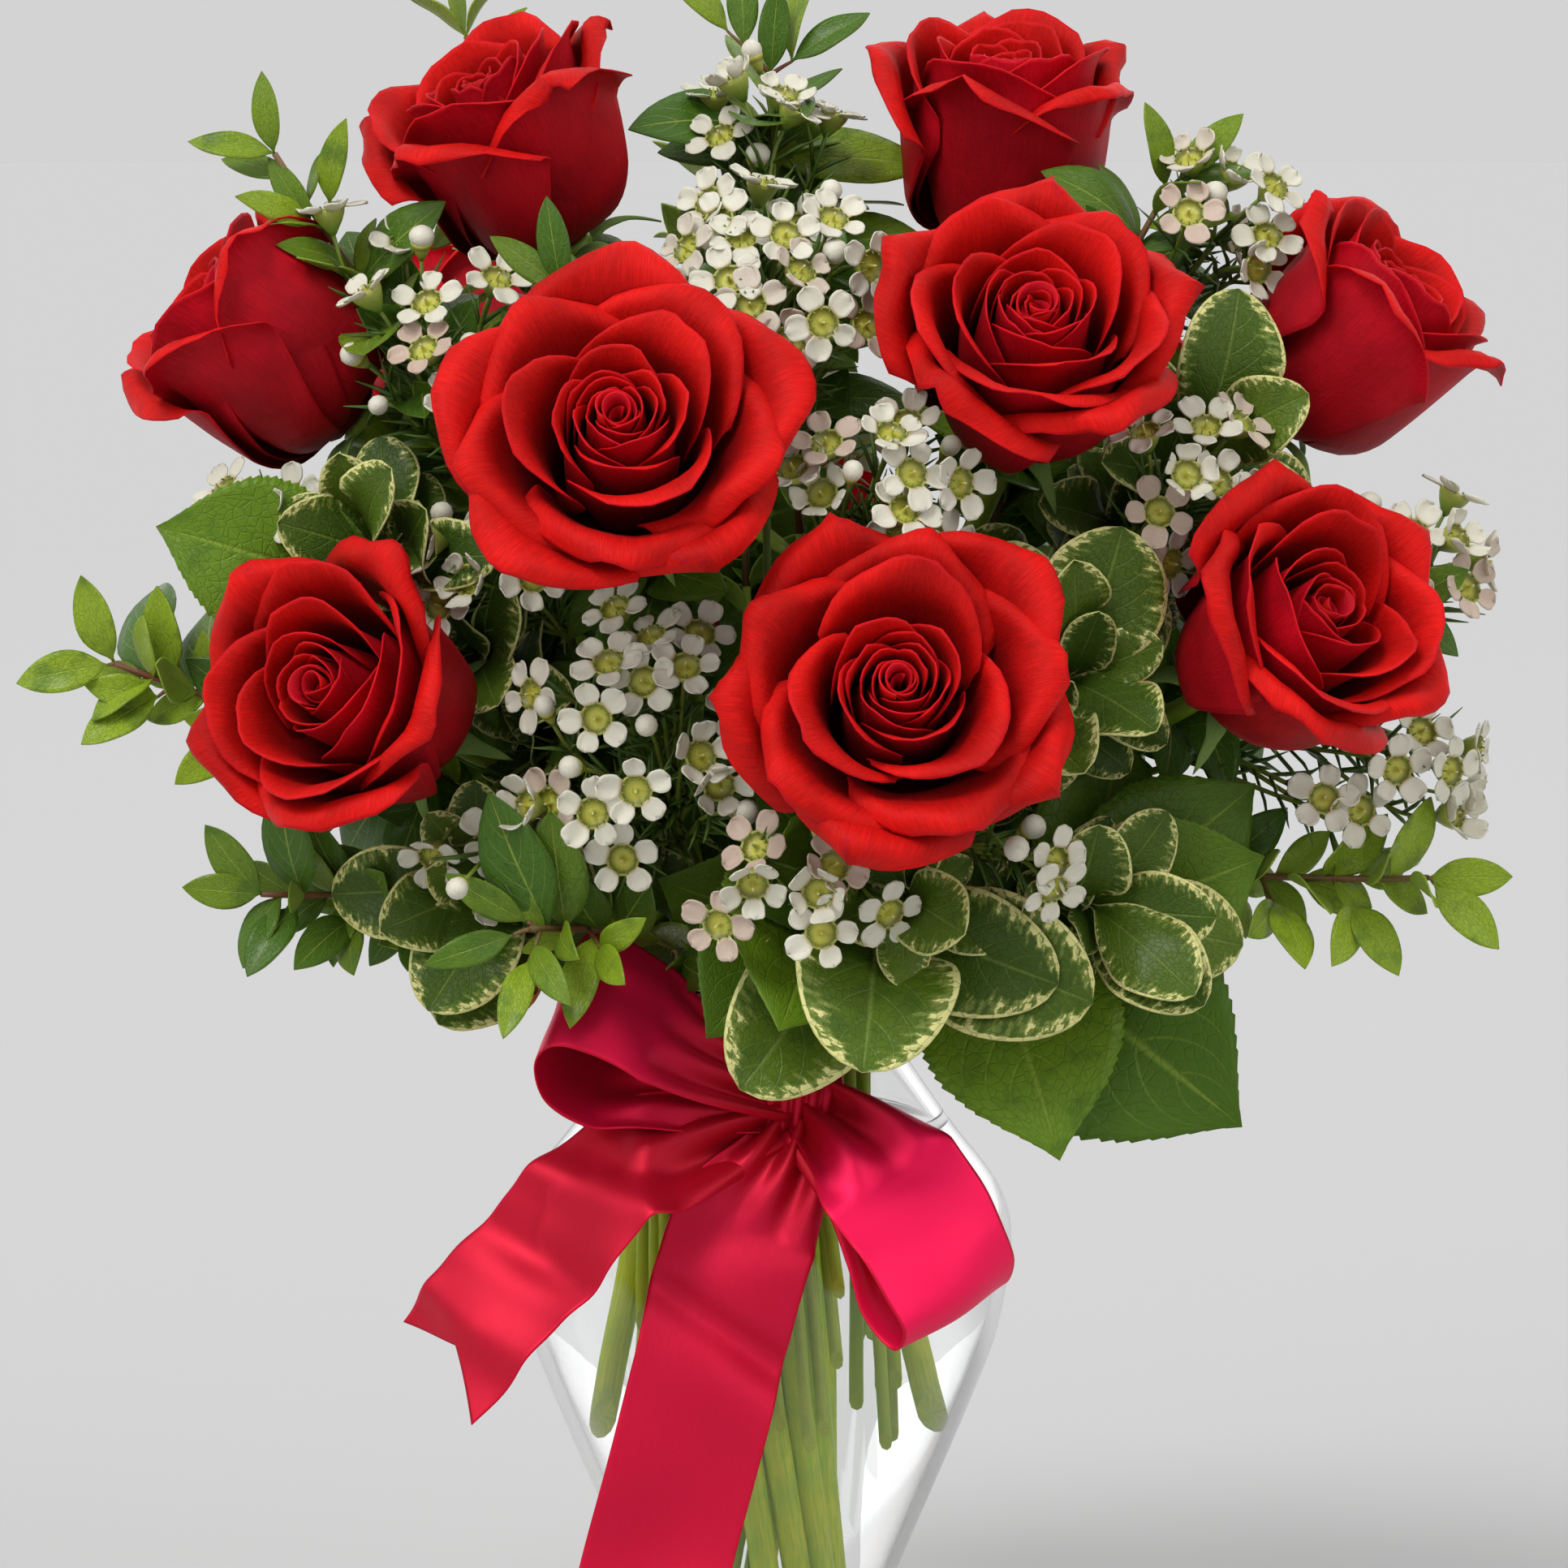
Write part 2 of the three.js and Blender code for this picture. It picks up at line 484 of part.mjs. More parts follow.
/** A point of a petal in its bloom: along from 0 at the root to 1 at the rim, sideways from -1 to 1. */
function petalPoint(petal, line, along, sideways) {
  const share = along * (1 - RIM_DROP * Math.abs(sideways) ** 2.4);
  const place = share * (line.length - 1);
  const k = Math.min(Math.floor(place), line.length - 2);
  const radius = mix(line[k][0], line[k + 1][0], place - k);
  const height = mix(line[k][1], line[k + 1][1], place - k);
  const half = petal.half * Math.min(share / PETAL_BROAD, 1) ** 0.8;
  const angle = radians(petal.azimuth) + (sideways * half) / Math.max(radius, 9);
  const roll = petal.roll * Math.abs(sideways) ** 3 * share ** 2;
  const reach = radius + petal.spiral * sideways * Math.min(3 * share, 1) + roll;
  return new THREE.Vector3(reach * Math.cos(angle), reach * Math.sin(angle), height - 0.4 * roll);
}

/** A bloom's own frame: its base is the origin, and it looks along +Z. */
function bloomFrame(rose) {
  const axis = vector(rose.axis).normalize();
  const base = vector(rose.centre).addScaledVector(axis, -BLOOM_HEIGHT);
  const [side, up] = across(axis);
  return { axis, base, matrix: new THREE.Matrix4().makeBasis(side, up, axis).setPosition(base) };
}

/** The petals of a bloom, rooted in its furled heart. */
function bloom(rose, roseIndex) {
  const heart = BUD_PROFILE.map(([height, radius], i) => {
    const twist = (BUD_TWIST * i) / (BUD_PROFILE.length - 1);
    return Array.from({ length: BUD_SIDES }, (_, k) => {
      return polar(radius, rose.spin + (360 / BUD_SIDES) * (k + 0.5) + twist, height);
    });
  });
  const solids = [solidOf(new LoftGeometry(heart, { capStart: true, capEnd: true }))];
  PETAL_LAYERS.forEach((layer, layerIndex) => {
    for (const petal of petalsOf(rose, roseIndex, layerIndex)) {
      const line = middleLine(petal);
      const rows = layer.rows.map((along) => Array.from({ length: layer.columns + 1 }, (_, j) => (
        petalPoint(petal, line, along, (2 * j) / layer.columns - 1)
      )));
      solids.push(blade(rows, PETAL_THICKNESS));
    }
  });
  return fuse(solids).transform(bloomFrame(rose).matrix.elements);
}

// ---------------------------------------------------------------- placing

const pieces = []; // every solid placed so far, with the node that it belongs to

/** Keeps a solid as part of a node. */
function place(node, solid) {
  pieces.push({ node, solid, box: solid.boundingBox() });
}

/** Whether two boxes come nearer each other than the clearance. */
function boxesMeet(a, b) {
  return [0, 1, 2].every((k) => a.min[k] - GAP < b.max[k] && b.min[k] - GAP < a.max[k]);
}

/** Whether a solid keeps its clearance to all nodes but its own. */
function isClear(node, solid) {
  const box = solid.boundingBox();
  return pieces.every((other) => (
    other.node === node || !boxesMeet(box, other.box) || solid.minGap(other.solid, GAP) >= GAP
  ));
}

/** Places the first of several tries that is clear. A piece with no clear place is left out. */
function placeFirstClear(node, tries, make) {
  for (const attempt of tries) {
    const solid = make(attempt);
    if (isClear(node, solid)) {
      place(node, solid);
      return attempt;
    }
  }
  return null;
}

/** The solid of a whole node. */
const solidOfNode = (node) => fuse(pieces.filter((piece) => piece.node === node).map(({ solid }) => solid));

// ---------------------------------------------------------------- vase and water

/** The vase's outer radius at a height. */
function outerRadius(height) {
  const k = VASE_OUTSIDE.findIndex(([top]) => top >= height);
  const [low, high] = [VASE_OUTSIDE[k - 1], VASE_OUTSIDE[k]];
  return mix(low[1], high[1], (height - low[0]) / (high[0] - low[0]));
}

/** The hollow of the vase between two heights, drawn in from the wall by some clearance. */
function hollow(bottom, top, clearance) {
  const radius = (height) => outerRadius(height) - GLASS - clearance;
  const between = INSIDE_HEIGHTS.filter((height) => height < top - 5);
  return [
    [bottom, 0],
    ...[bottom, ...between, top].map((height) => [height, radius(height)]),
  ];
}

const RIM_HEIGHT = VASE_OUTSIDE[VASE_OUTSIDE.length - 1][0];

function vase() {
  const inside = hollow(FLOOR_HEIGHT, RIM_HEIGHT, 0).reverse();
  return turned([[0, 0], ...VASE_OUTSIDE, ...inside]);
}

/** The water, with a plain hole for each stem that stands in it. */
function water(stemFeet) {
  const body = turned([...hollow(FLOOR_HEIGHT + GAP, WATER_HEIGHT, GAP), [WATER_HEIGHT, 0]]);
  const holes = stemFeet.map(({ cut, neck, radius, sides }) => {
    const along = new THREE.Vector3().subVectors(neck, cut).normalize();
    const foot = cut.clone().addScaledVector(along, -GAP);
    const wide = radius + GAP / Math.cos(Math.PI / sides);
    return stem([foot, neck], [wide, wide], sides);
  });
  return body.subtract(wasm.Manifold.union(holes)).simplify(0.02);
}

// ---------------------------------------------------------------- ribbon bow

/** A strip of ribbon along a line of points: each has a place, a half width and the way of its width. */
function strip(line, notch) {
  const columns = notch ? [-1, 0, 1] : [-1, 1];
  const rows = line.map(({ at, half, way }) => {
    const side = vector(way).normalize();
    return columns.map((sideways) => vector(at).addScaledVector(side, sideways * half));
  });
  if (notch) {
    const [before, end] = rows.slice(-2).map((row) => row[1]);
    end.addScaledVector(new THREE.Vector3().subVectors(before, end).normalize(), notch);
  }
  return blade(rows, RIBBON_THICKNESS);
}

function bow() {
  const radius = outerRadius(BAND_HEIGHTS[0]) + GAP;
  const [low, high] = BAND_HEIGHTS;
  const outside = radius + BAND_THICKNESS;
  const band = turned([[low, radius], [low, outside], [high, outside], [high, radius], [low, radius]]);
  const knot = new THREE.SphereGeometry(1, 10, 6);
  knot.scale(...KNOT_SIZE);
  knot.translate(...KNOT);
  const strips = RIBBON_STRIPS.map(({ line, notch }) => strip(line, notch));
  const wall = VASE_OUTSIDE.map(([height, r]) => [height, r + GAP]);
  const clearance = turned([[0, 0], ...wall, [RIM_HEIGHT, 0]]);
  return fuse([fuse([band, solidOf(knot), ...strips]).subtract(clearance)]);
}

// ---------------------------------------------------------------- stems

/** A curve that leaves the neck along a direction and arrives at its end along another. */
function stemPath(cut, neck, end, arrival, lift, steps) {
  const reach = neck.distanceTo(end);
  const leave = new THREE.Vector3().subVectors(neck, cut).normalize();
  const curve = new THREE.CubicBezierCurve3(
    neck,
    neck.clone().addScaledVector(leave, lift * reach),
    end.clone().addScaledVector(arrival, -ARRIVAL_REACH * reach),
    end,
  );
  return [cut, ...curve.getPoints(steps)];
}

/** A rose's hip with its five sepals, a star-shaped collar that looks along an axis. */
function hip(top, axis, spin) {
  const [side, up] = across(axis);
  const sections = HIP_PROFILE.map(([depth, radius, reach, drop]) => (
    Array.from({ length: 10 }, (_, k) => {
      const angle = radians(spin + 36 * k);
      const [out, down] = k % 2 ? [radius, depth] : [reach, drop];
      return top.clone()
        .addScaledVector(side, out * Math.cos(angle))
        .addScaledVector(up, out * Math.sin(angle))
        .addScaledVector(axis, -down);
    })
  ));
  return solidOf(new LoftGeometry(sections, { capStart: true, capEnd: true }));
}

/** A rose's stem with its hip and sepals, up to the base of its bloom. */
function roseStem(rose, slot) {
  const { axis, base } = bloomFrame(rose);
  const azimuth = ROSE_SLOT_START + (360 / ROSES.length) * slot;
  const cut = rose.wide
    ? polar(WIDE_CUT.ring, azimuth + WIDE_CUT.twist, WIDE_CUT.height)
    : polar(ROSE_CUT_RING, azimuth + ROSE_STEM_TWIST, ROSE_CUT_HEIGHT);
  const neck = polar(ROSE_RING, azimuth, NECK_HEIGHT);
  const top = base.clone().addScaledVector(axis, HIP_TOP);
  const foot = top.clone().addScaledVector(axis, -STEM_TOP);
  const path = stemPath(cut, neck, foot, axis, ROSE_LIFT, ROSE_STEM_STEPS);
  const solids = [stem(path, path.map(() => ROSE_STEM_RADIUS), ROSE_STEM_SIDES), hip(top, axis, rose.spin)];
  return { solid: fuse(solids), foot: { cut, neck, radius: ROSE_STEM_RADIUS, sides: ROSE_STEM_SIDES } };
}

// ---------------------------------------------------------------- greens and waxflower

/** The way a leaf or floret at a place looks: out of the bouquet, and to the front where it is in front. */
function facingAt(point) {
  const out = new THREE.Vector3().subVectors(point, BOUQUET_HEART).normalize();
  return point.y < FRONT_HALF ? out.multiplyScalar(0.5).addScaledVector(FRONT, 0.8).normalize() : out;
}

/** The point of a stem at a share of its length above the neck. The path's first point is the cut end. */
function pointOn(path, share) {
  const place = 1 + share * (path.length - 2);
  const k = Math.min(Math.floor(place), path.length - 2);
  return path[k].clone().lerp(path[k + 1], place - k);
}

/** Where on a stem a leaf or twig of a likely length starts, so that it leaves at a likely angle. */
function rootFor(path, tip, length, angle) {
  let best = null;
  for (let share = ROOTS_FROM; share < 1.001; share += ROOTS_STEP) {
    const root = pointOn(path, Math.min(share, 1));
    const ahead = pointOn(path, Math.min(share, 0.98) + 0.02).sub(pointOn(path, Math.min(share, 0.98)));
    const leaving = new THREE.Vector3().subVectors(tip, root);
    const bend = THREE.MathUtils.radToDeg(leaving.angleTo(ahead));
    const score = Math.abs(bend - angle) / 40 + Math.abs(leaving.length() - length) / length;
    if (!best || score < best.score) best = { score, root };
  }
  return best.root;
}

/** A leaf from its root to its tip. */
function leaf(kind, root, tip, breadth) {
  const { outline, columns, broad, arch, fold } = LEAF_KINDS[kind];
  const chord = new THREE.Vector3().subVectors(tip, root);
  const length = chord.length();
  const along = chord.normalize();
  const side = new THREE.Vector3().crossVectors(along, facingAt(tip)).normalize();
  const normal = new THREE.Vector3().crossVectors(side, along);
  const rows = outline.map(([share, half]) => Array.from({ length: columns }, (_, j) => {
    const sideways = (2 * j) / (columns - 1) - 1;
    const reach = half * broad * breadth * length * 0.5;
    const rise = 4 * arch * length * share * (1 - share) + fold * Math.abs(sideways) * reach;
    return root.clone()
      .addScaledVector(along, share * length)
      .addScaledVector(normal, rise)
      .addScaledVector(side, sideways * reach);
  }));
  return blade(rows, LEAF_THICKNESS);
}

/** A tip swung to another place at the same distance from its root. */
function swung(root, tip, [ahead, sideways]) {
  const leaving = new THREE.Vector3().subVectors(tip, root);
  const facing = facingAt(tip);
  const side = new THREE.Vector3().crossVectors(leaving, facing).normalize();
  const length = leaving.length();
  return leaving
    .addScaledVector(facing, ahead * length)
    .addScaledVector(side, sideways * length)
    .setLength(length)
    .add(root);
}

/** The florets or buds of a waxflower head, spread over a low dome like seeds on a disc. */
function headPlaces({ centre, wide, tall, count }, seed) {
  const middle = vector(centre);
  const facing = facingAt(middle);
  const [side, up] = across(facing);
  const random = seeded(seed);
  return Array.from({ length: count }, (_, k) => {
    const spread = Math.sqrt((k + 0.5) / count);
    const angle = radians(137.5 * k + 40 * random());
    const [right, high] = [spread * Math.cos(angle), spread * Math.sin(angle)];
    const at = middle.clone()
      .addScaledVector(side, right * wide)
      .addScaledVector(up, high * tall)
      .addScaledVector(facing, HEAD_DOME * (0.5 - spread * spread) + HEAD_JITTER * (random() - 0.5));
    const look = facing.clone()
      .addScaledVector(side, 0.7 * right + 0.5 * (random() - 0.5))
      .addScaledVector(up, 0.6 * high + 0.5 * (random() - 0.5))
      .normalize();
    return { at, look, bud: random() < BUD_SHARE };
  });
}

/** Triangles between two rings of points that run the same way round. */
function stitch(first, firstCount, second, secondCount) {
  const index = [];
  for (let k = 0; k < firstCount; k += 1) {
    const here = Math.floor((k * secondCount) / firstCount);
    const next = Math.floor(((k + 1) * secondCount) / firstCount);
    index.push(first + ((k + 1) % firstCount), first + k, second + here);
    if (next !== here) index.push(first + ((k + 1) % firstCount), second + here, second + (next % secondCount));
  }
  return index;
}

/** A floret of five rounded petals, or a bud, with its cup and the twig that carries it. */
function flower(root, at, look, isBud) {
  const [side, up] = across(look);
  const point = (from, radius, angle, height) => from.clone()
    .addScaledVector(side, radius * Math.cos(angle))
    .addScaledVector(up, radius * Math.sin(angle))
    .addScaledVector(look, height);
  const edge = [];
  for (let k = 0; k < (isBud ? 4 : 5); k += 1) {
    if (isBud) edge.push([BUD_RADIUS, radians(90 * k)]);
    else {
      edge.push([FLORET_RADIUS, radians(72 * k) - LOBE_HALF], [FLORET_RADIUS, radians(72 * k) + LOBE_HALF]);
      edge.push([FLORET_NOTCH, radians(72 * k + 36)]);
    }
  }
  const twig = [0, 120, 240].map(radians);
  const depth = isBud ? BUD_RADIUS : FLORET_DEPTH;
  const corners = [
    point(at, 0, 0, isBud ? BUD_RADIUS : -1),
    ...edge.map(([radius, angle]) => point(at, radius, angle, 0)),
    ...twig.map((angle) => point(at, TWIG_RADIUS, angle, -depth)),
    ...twig.map((angle) => point(root, TWIG_RADIUS, angle, 0)),
  ];
  const [neck, foot] = [1 + edge.length, 4 + edge.length];
  const index = [
    ...edge.flatMap((_, k) => [0, 1 + k, 1 + ((k + 1) % edge.length)]),
    ...stitch(1, edge.length, neck, 3),
    ...stitch(neck, 3, foot, 3),
    foot, foot + 2, foot + 1,
  ];
  const geometry = new THREE.BufferGeometry();
  geometry.setAttribute("position", new THREE.Float32BufferAttribute(corners.flatMap((c) => c.toArray()), 3));
  geometry.setIndex(index);
  return solidOf(geometry);
}

/** The stem of a spray, by the first route that is clear. */
function sprayStem(spray, random) {
  const end = vector(spray.end);
  const azimuth = THREE.MathUtils.radToDeg(Math.atan2(end.y, end.x));
  const cutHeight = mix(...GREEN_CUT_HEIGHTS, random());
  let found = null;
  placeFirstClear(spray.name, STEM_ROUTES, ([turn, ring, lift]) => {
    const neck = polar(ring, azimuth + turn, NECK_HEIGHT);
    const cut = polar(ring + 2, azimuth + turn + GREEN_STEM_TWIST, cutHeight);
    const arrival = new THREE.Vector3(end.x, end.y, end.z - NECK_HEIGHT - lift * 80).normalize();
    const path = stemPath(cut, neck, end, arrival, lift, GREEN_STEM_STEPS);
    found = { path, foot: { cut, neck, radius: GREEN_STEM_RADIUS, sides: GREEN_STEM_SIDES } };
    return stem(path, path.map((_, k) => GREEN_STEM_RADIUS * (k < 3 ? 1 : 0.85)), GREEN_STEM_SIDES);
  });
  return found;
}

function placeLeaves(spray, path) {
  const { length, angle } = LEAF_KINDS[spray.kind];
  for (const place of spray.tips) {
    const tip = vector(place);
    const root = rootFor(path, tip, length, angle);
    const breadth = place[3] ?? 1;
    placeFirstClear(spray.name, SWINGS, (swing) => leaf(spray.kind, root, swung(root, tip, swing), breadth));
  }
}

function placeFlowers(spray, path, seed) {
  spray.heads.forEach((head, headIndex) => {
    headPlaces(head, seed + headIndex).forEach(({ at, look, bud }, k) => {
      if (k % SHOWN_FLOWERS) return;
      const root = rootFor(path, at, TWIG_LENGTH, TWIG_ANGLE);
      const leaving = new THREE.Vector3().subVectors(at, root).normalize();
      const facing = look.clone().addScaledVector(leaving, 0.7).normalize();
      placeFirstClear(spray.name, HEAD_SHIFTS, (shift) => (
        flower(root, at.clone().addScaledVector(facing, shift), facing, bud)
      ));
    });
  });
}

// ---------------------------------------------------------------- the whole

const MATERIALS = {
  glass: { color: 0xe8f0ee, roughness: 0.05, transparent: true, opacity: 0.35 },
  water: { color: 0xdfe9e6, roughness: 0.05, transparent: true, opacity: 0.3 },
  ribbon: { color: 0xc8102e, roughness: 0.35 },
  petal: { color: 0xb30d12, roughness: 0.6 },
  rose_green: { color: 0x6f8f2c, roughness: 0.55 },
  salal: { color: 0x1f4a20, roughness: 0.5 },
  pittosporum: { color: 0x56702f, roughness: 0.5 },
  huckleberry: { color: 0x4c7f2a, roughness: 0.45 },
  waxflower: { color: 0xf0ece4, roughness: 0.6 },
};

place("vase", vase());
place("ribbon_bow", bow());

const feet = [];
ROSES.forEach((rose, slot) => {
  place(`${rose.name}_bloom`, bloom(rose, slot));
  const { solid, foot } = roseStem(rose, slot);
  place(`${rose.name}_stem`, solid);
  feet.push(foot);
});

const randomCut = seeded(4);
const routes = SPRAYS.map((spray) => {
  const route = sprayStem(spray, randomCut);
  feet.push(route.foot);
  return route.path;
});
SPRAYS.forEach((spray, k) => {
  if (spray.tips) placeLeaves(spray, routes[k]);
});
SPRAYS.forEach((spray, k) => {
  if (spray.heads) placeFlowers(spray, routes[k], 100 * k + 7);
});

const nodes = [
  ["vase", "glass"],
  ["water", "water"],
  ["ribbon_bow", "ribbon"],
  ...ROSES.flatMap(({ name }) => [[`${name}_bloom`, "petal"], [`${name}_stem`, "rose_green"]]),
  ...SPRAYS.map(({ name, kind }) => [name, kind]),
];

const group = new THREE.Group();
for (const [name, material] of nodes) {
  const solid = name === "water" ? water(feet) : solidOfNode(name);
  const mesh = new THREE.Mesh(geometryOf(solid), new THREE.MeshStandardMaterial(MATERIALS[material]));
  mesh.name = name;
  group.add(mesh);
}

export default group;
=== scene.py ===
import math

import bmesh
import bpy
import numpy as np
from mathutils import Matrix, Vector, bvhtree, kdtree


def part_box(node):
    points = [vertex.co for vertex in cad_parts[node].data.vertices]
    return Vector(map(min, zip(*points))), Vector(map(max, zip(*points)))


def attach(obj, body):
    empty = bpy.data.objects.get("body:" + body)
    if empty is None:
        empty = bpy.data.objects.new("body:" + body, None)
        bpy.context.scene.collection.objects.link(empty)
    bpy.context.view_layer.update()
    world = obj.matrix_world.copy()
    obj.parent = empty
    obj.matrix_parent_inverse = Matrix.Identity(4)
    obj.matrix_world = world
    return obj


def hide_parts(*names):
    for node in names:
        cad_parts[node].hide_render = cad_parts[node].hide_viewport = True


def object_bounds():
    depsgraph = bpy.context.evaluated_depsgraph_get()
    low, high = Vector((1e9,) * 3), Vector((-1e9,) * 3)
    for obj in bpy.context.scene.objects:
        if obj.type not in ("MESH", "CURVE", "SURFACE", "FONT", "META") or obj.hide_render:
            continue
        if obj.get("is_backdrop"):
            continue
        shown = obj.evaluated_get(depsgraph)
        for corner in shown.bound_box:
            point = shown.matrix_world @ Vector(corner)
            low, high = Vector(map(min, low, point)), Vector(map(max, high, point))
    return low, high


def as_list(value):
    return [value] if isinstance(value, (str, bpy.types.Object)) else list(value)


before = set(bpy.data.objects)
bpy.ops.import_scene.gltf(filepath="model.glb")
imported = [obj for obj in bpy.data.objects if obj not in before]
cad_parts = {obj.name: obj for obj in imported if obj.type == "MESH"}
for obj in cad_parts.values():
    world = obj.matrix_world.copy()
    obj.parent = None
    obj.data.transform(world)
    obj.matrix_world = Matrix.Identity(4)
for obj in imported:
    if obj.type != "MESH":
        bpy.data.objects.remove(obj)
CAD_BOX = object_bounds()

# A dozen red roses with mixed greens and waxflower in a clear glass vase, tied with a satin ribbon.
# Lengths are in millimetres up to the point where a mesh is made. +Z is up, and -Y is the front.

MM = 0.001

# ---------------------------------------------------------------- layout, the same as in the solids

NECK_HEIGHT = 205
ROSE_RING = 17  # radius of the ring of rose stems in the neck
GREEN_RINGS = [27, 22]
RING_SPREAD = 2  # how much wider the ring of the green stems is at their cut ends
ROSE_STEM_RADIUS = 2.75
LOW_SWELL = 1.18  # how much thicker a rose's stem is up to the neck
ROSE_CUT_HEIGHT = 14
ROSE_CUT_RING = 19
ROSE_STEM_TWIST = 90  # degrees round the vase from a stem's place in the neck to its cut end
ROSE_SLOT_START = 20
WIDE_CUT = {"ring": 38, "height": 100, "twist": 20}  # of the stems that lean on the belly
GREEN_STEM_RADIUS = 1.5
CUT_SLANT = 1.8  # a stem's slanting cut is this many times as long as the stem is thick
BLOOM_HEIGHT = 32  # from the base of a bloom to its centre
HIP_TOP = -1.4  # where a rose's hip ends, from the base of its bloom
STEM_TOP = 6  # how far below that the curve of its stem ends
ROSE_LIFT = 0.36  # first arm of a stem's curve, as a share of the way from the neck to its end
ARRIVAL_REACH = 0.3  # and its last arm
ARRIVAL_DROP = 80  # how much a longer first arm turns a spray's end down
GREEN_CUT_HEIGHTS = [80, 150]
GREEN_STEM_TWIST = 20
ROOTS_FROM = 0.5  # leaves and twigs start at this share of a stem and at steps after it
ROOTS_STEP = 0.05
ROOT_ANGLE_WEIGHT = 40  # degrees off the usual angle that count as much as twice the usual length
FRONT_HALF = 20  # leaves and flowers in front of this Y turn to the front
GOLDEN_ANGLE = 137.5
FRONT = np.array([0, -1, 0.25]) / math.hypot(1, 0.25)
UP = np.array([0.0, 0.0, 1.0])
ORIGIN = np.zeros(3)
BOUQUET_HEART = np.array([0.0, 0.0, 290.0])

TURNS = [0, 7, -7, 14, -14, 21, -21, 28, -28, 36, -36, 45, -45, 55, -55]
STEM_ROUTES = [(t, r, lift) for lift in (0.35, 0.5, 0.22, 0.65) for r in GREEN_RINGS for t in TURNS]
SWINGS = [(a, s) for a in (0, 0.25, -0.25, 0.5, -0.5, 0.8) for s in (0, 0.3, -0.3, 0.65, -0.65)]
HEAD_SHIFTS = [0, 6, -6, 12, -12, 18, -18]

# Height and radius of the vase above its foot.
VASE_OUTSIDE = [(16, 33), (38, 28), (60, 35.5), (108, 55.7), (127, 62.3), (149, 65.5), (163, 62), (179, 50),
                (198, 37), (205, 34), (211, 37), (218, 43)]
# And its foot, rounder than that of the solid.
VASE_FOOT = [(0, 0), (0, 33), (0.4, 35.6), (1.6, 37.4), (3.4, 38), (5.4, 38), (8, 37.2)]
VASE_SIDES = 128
GLASS = 3
FLOOR_HEIGHT = 12
WATER_HEIGHT = 181
GAP = 0.35  # between the glass and the water
PAINTED_LIGHT_TOP = 225  # from the water up to here, a stem's skin turns from its lighter colour in the water, painted light, to its own colour

# name, centre, axis, open (0 half open, 1 fully open), spin, and whether its stem leans on the belly
ROSES = [
    ("rose_top_right", (62, 5, 442), (0.05, -0.3, 0.95), 0.2, 20, False),
    ("rose_back_right", (75, 100, 385), (0.35, 0.65, 0.65), 0.5, 0, False),
    ("rose_back_low", (0, 128, 310), (0, 0.9, 0.4), 0.9, 50, False),
    ("rose_back_left", (-80, 95, 375), (-0.4, 0.65, 0.6), 0.4, 10, False),
    ("rose_top_left", (-66, -15, 439), (-0.45, -0.3, 0.84), 0.35, 0, False),
    ("rose_left", (-131, -20, 386), (-0.78, -0.1, 0.6), 0.1, 30, True),
    ("rose_low_left", (-104, -80, 299), (-0.5, -0.8, 0.3), 0.4, 60, False),
    ("rose_centre_left", (-35, -105, 366), (0, -0.85, 0.5), 1, 15, False),
    ("rose_front", (33, -118, 303), (0.05, -0.92, 0.38), 1, 40, False),
    ("rose_centre_right", (67, -75, 388), (0.1, -0.75, 0.65), 0.5, 5, False),
    ("rose_low_right", (135, -72, 316), (0.5, -0.7, 0.45), 0.4, 25, False),
    ("rose_right", (154, -15, 389), (0.65, -0.3, 0.7), 0.15, 50, True),
]
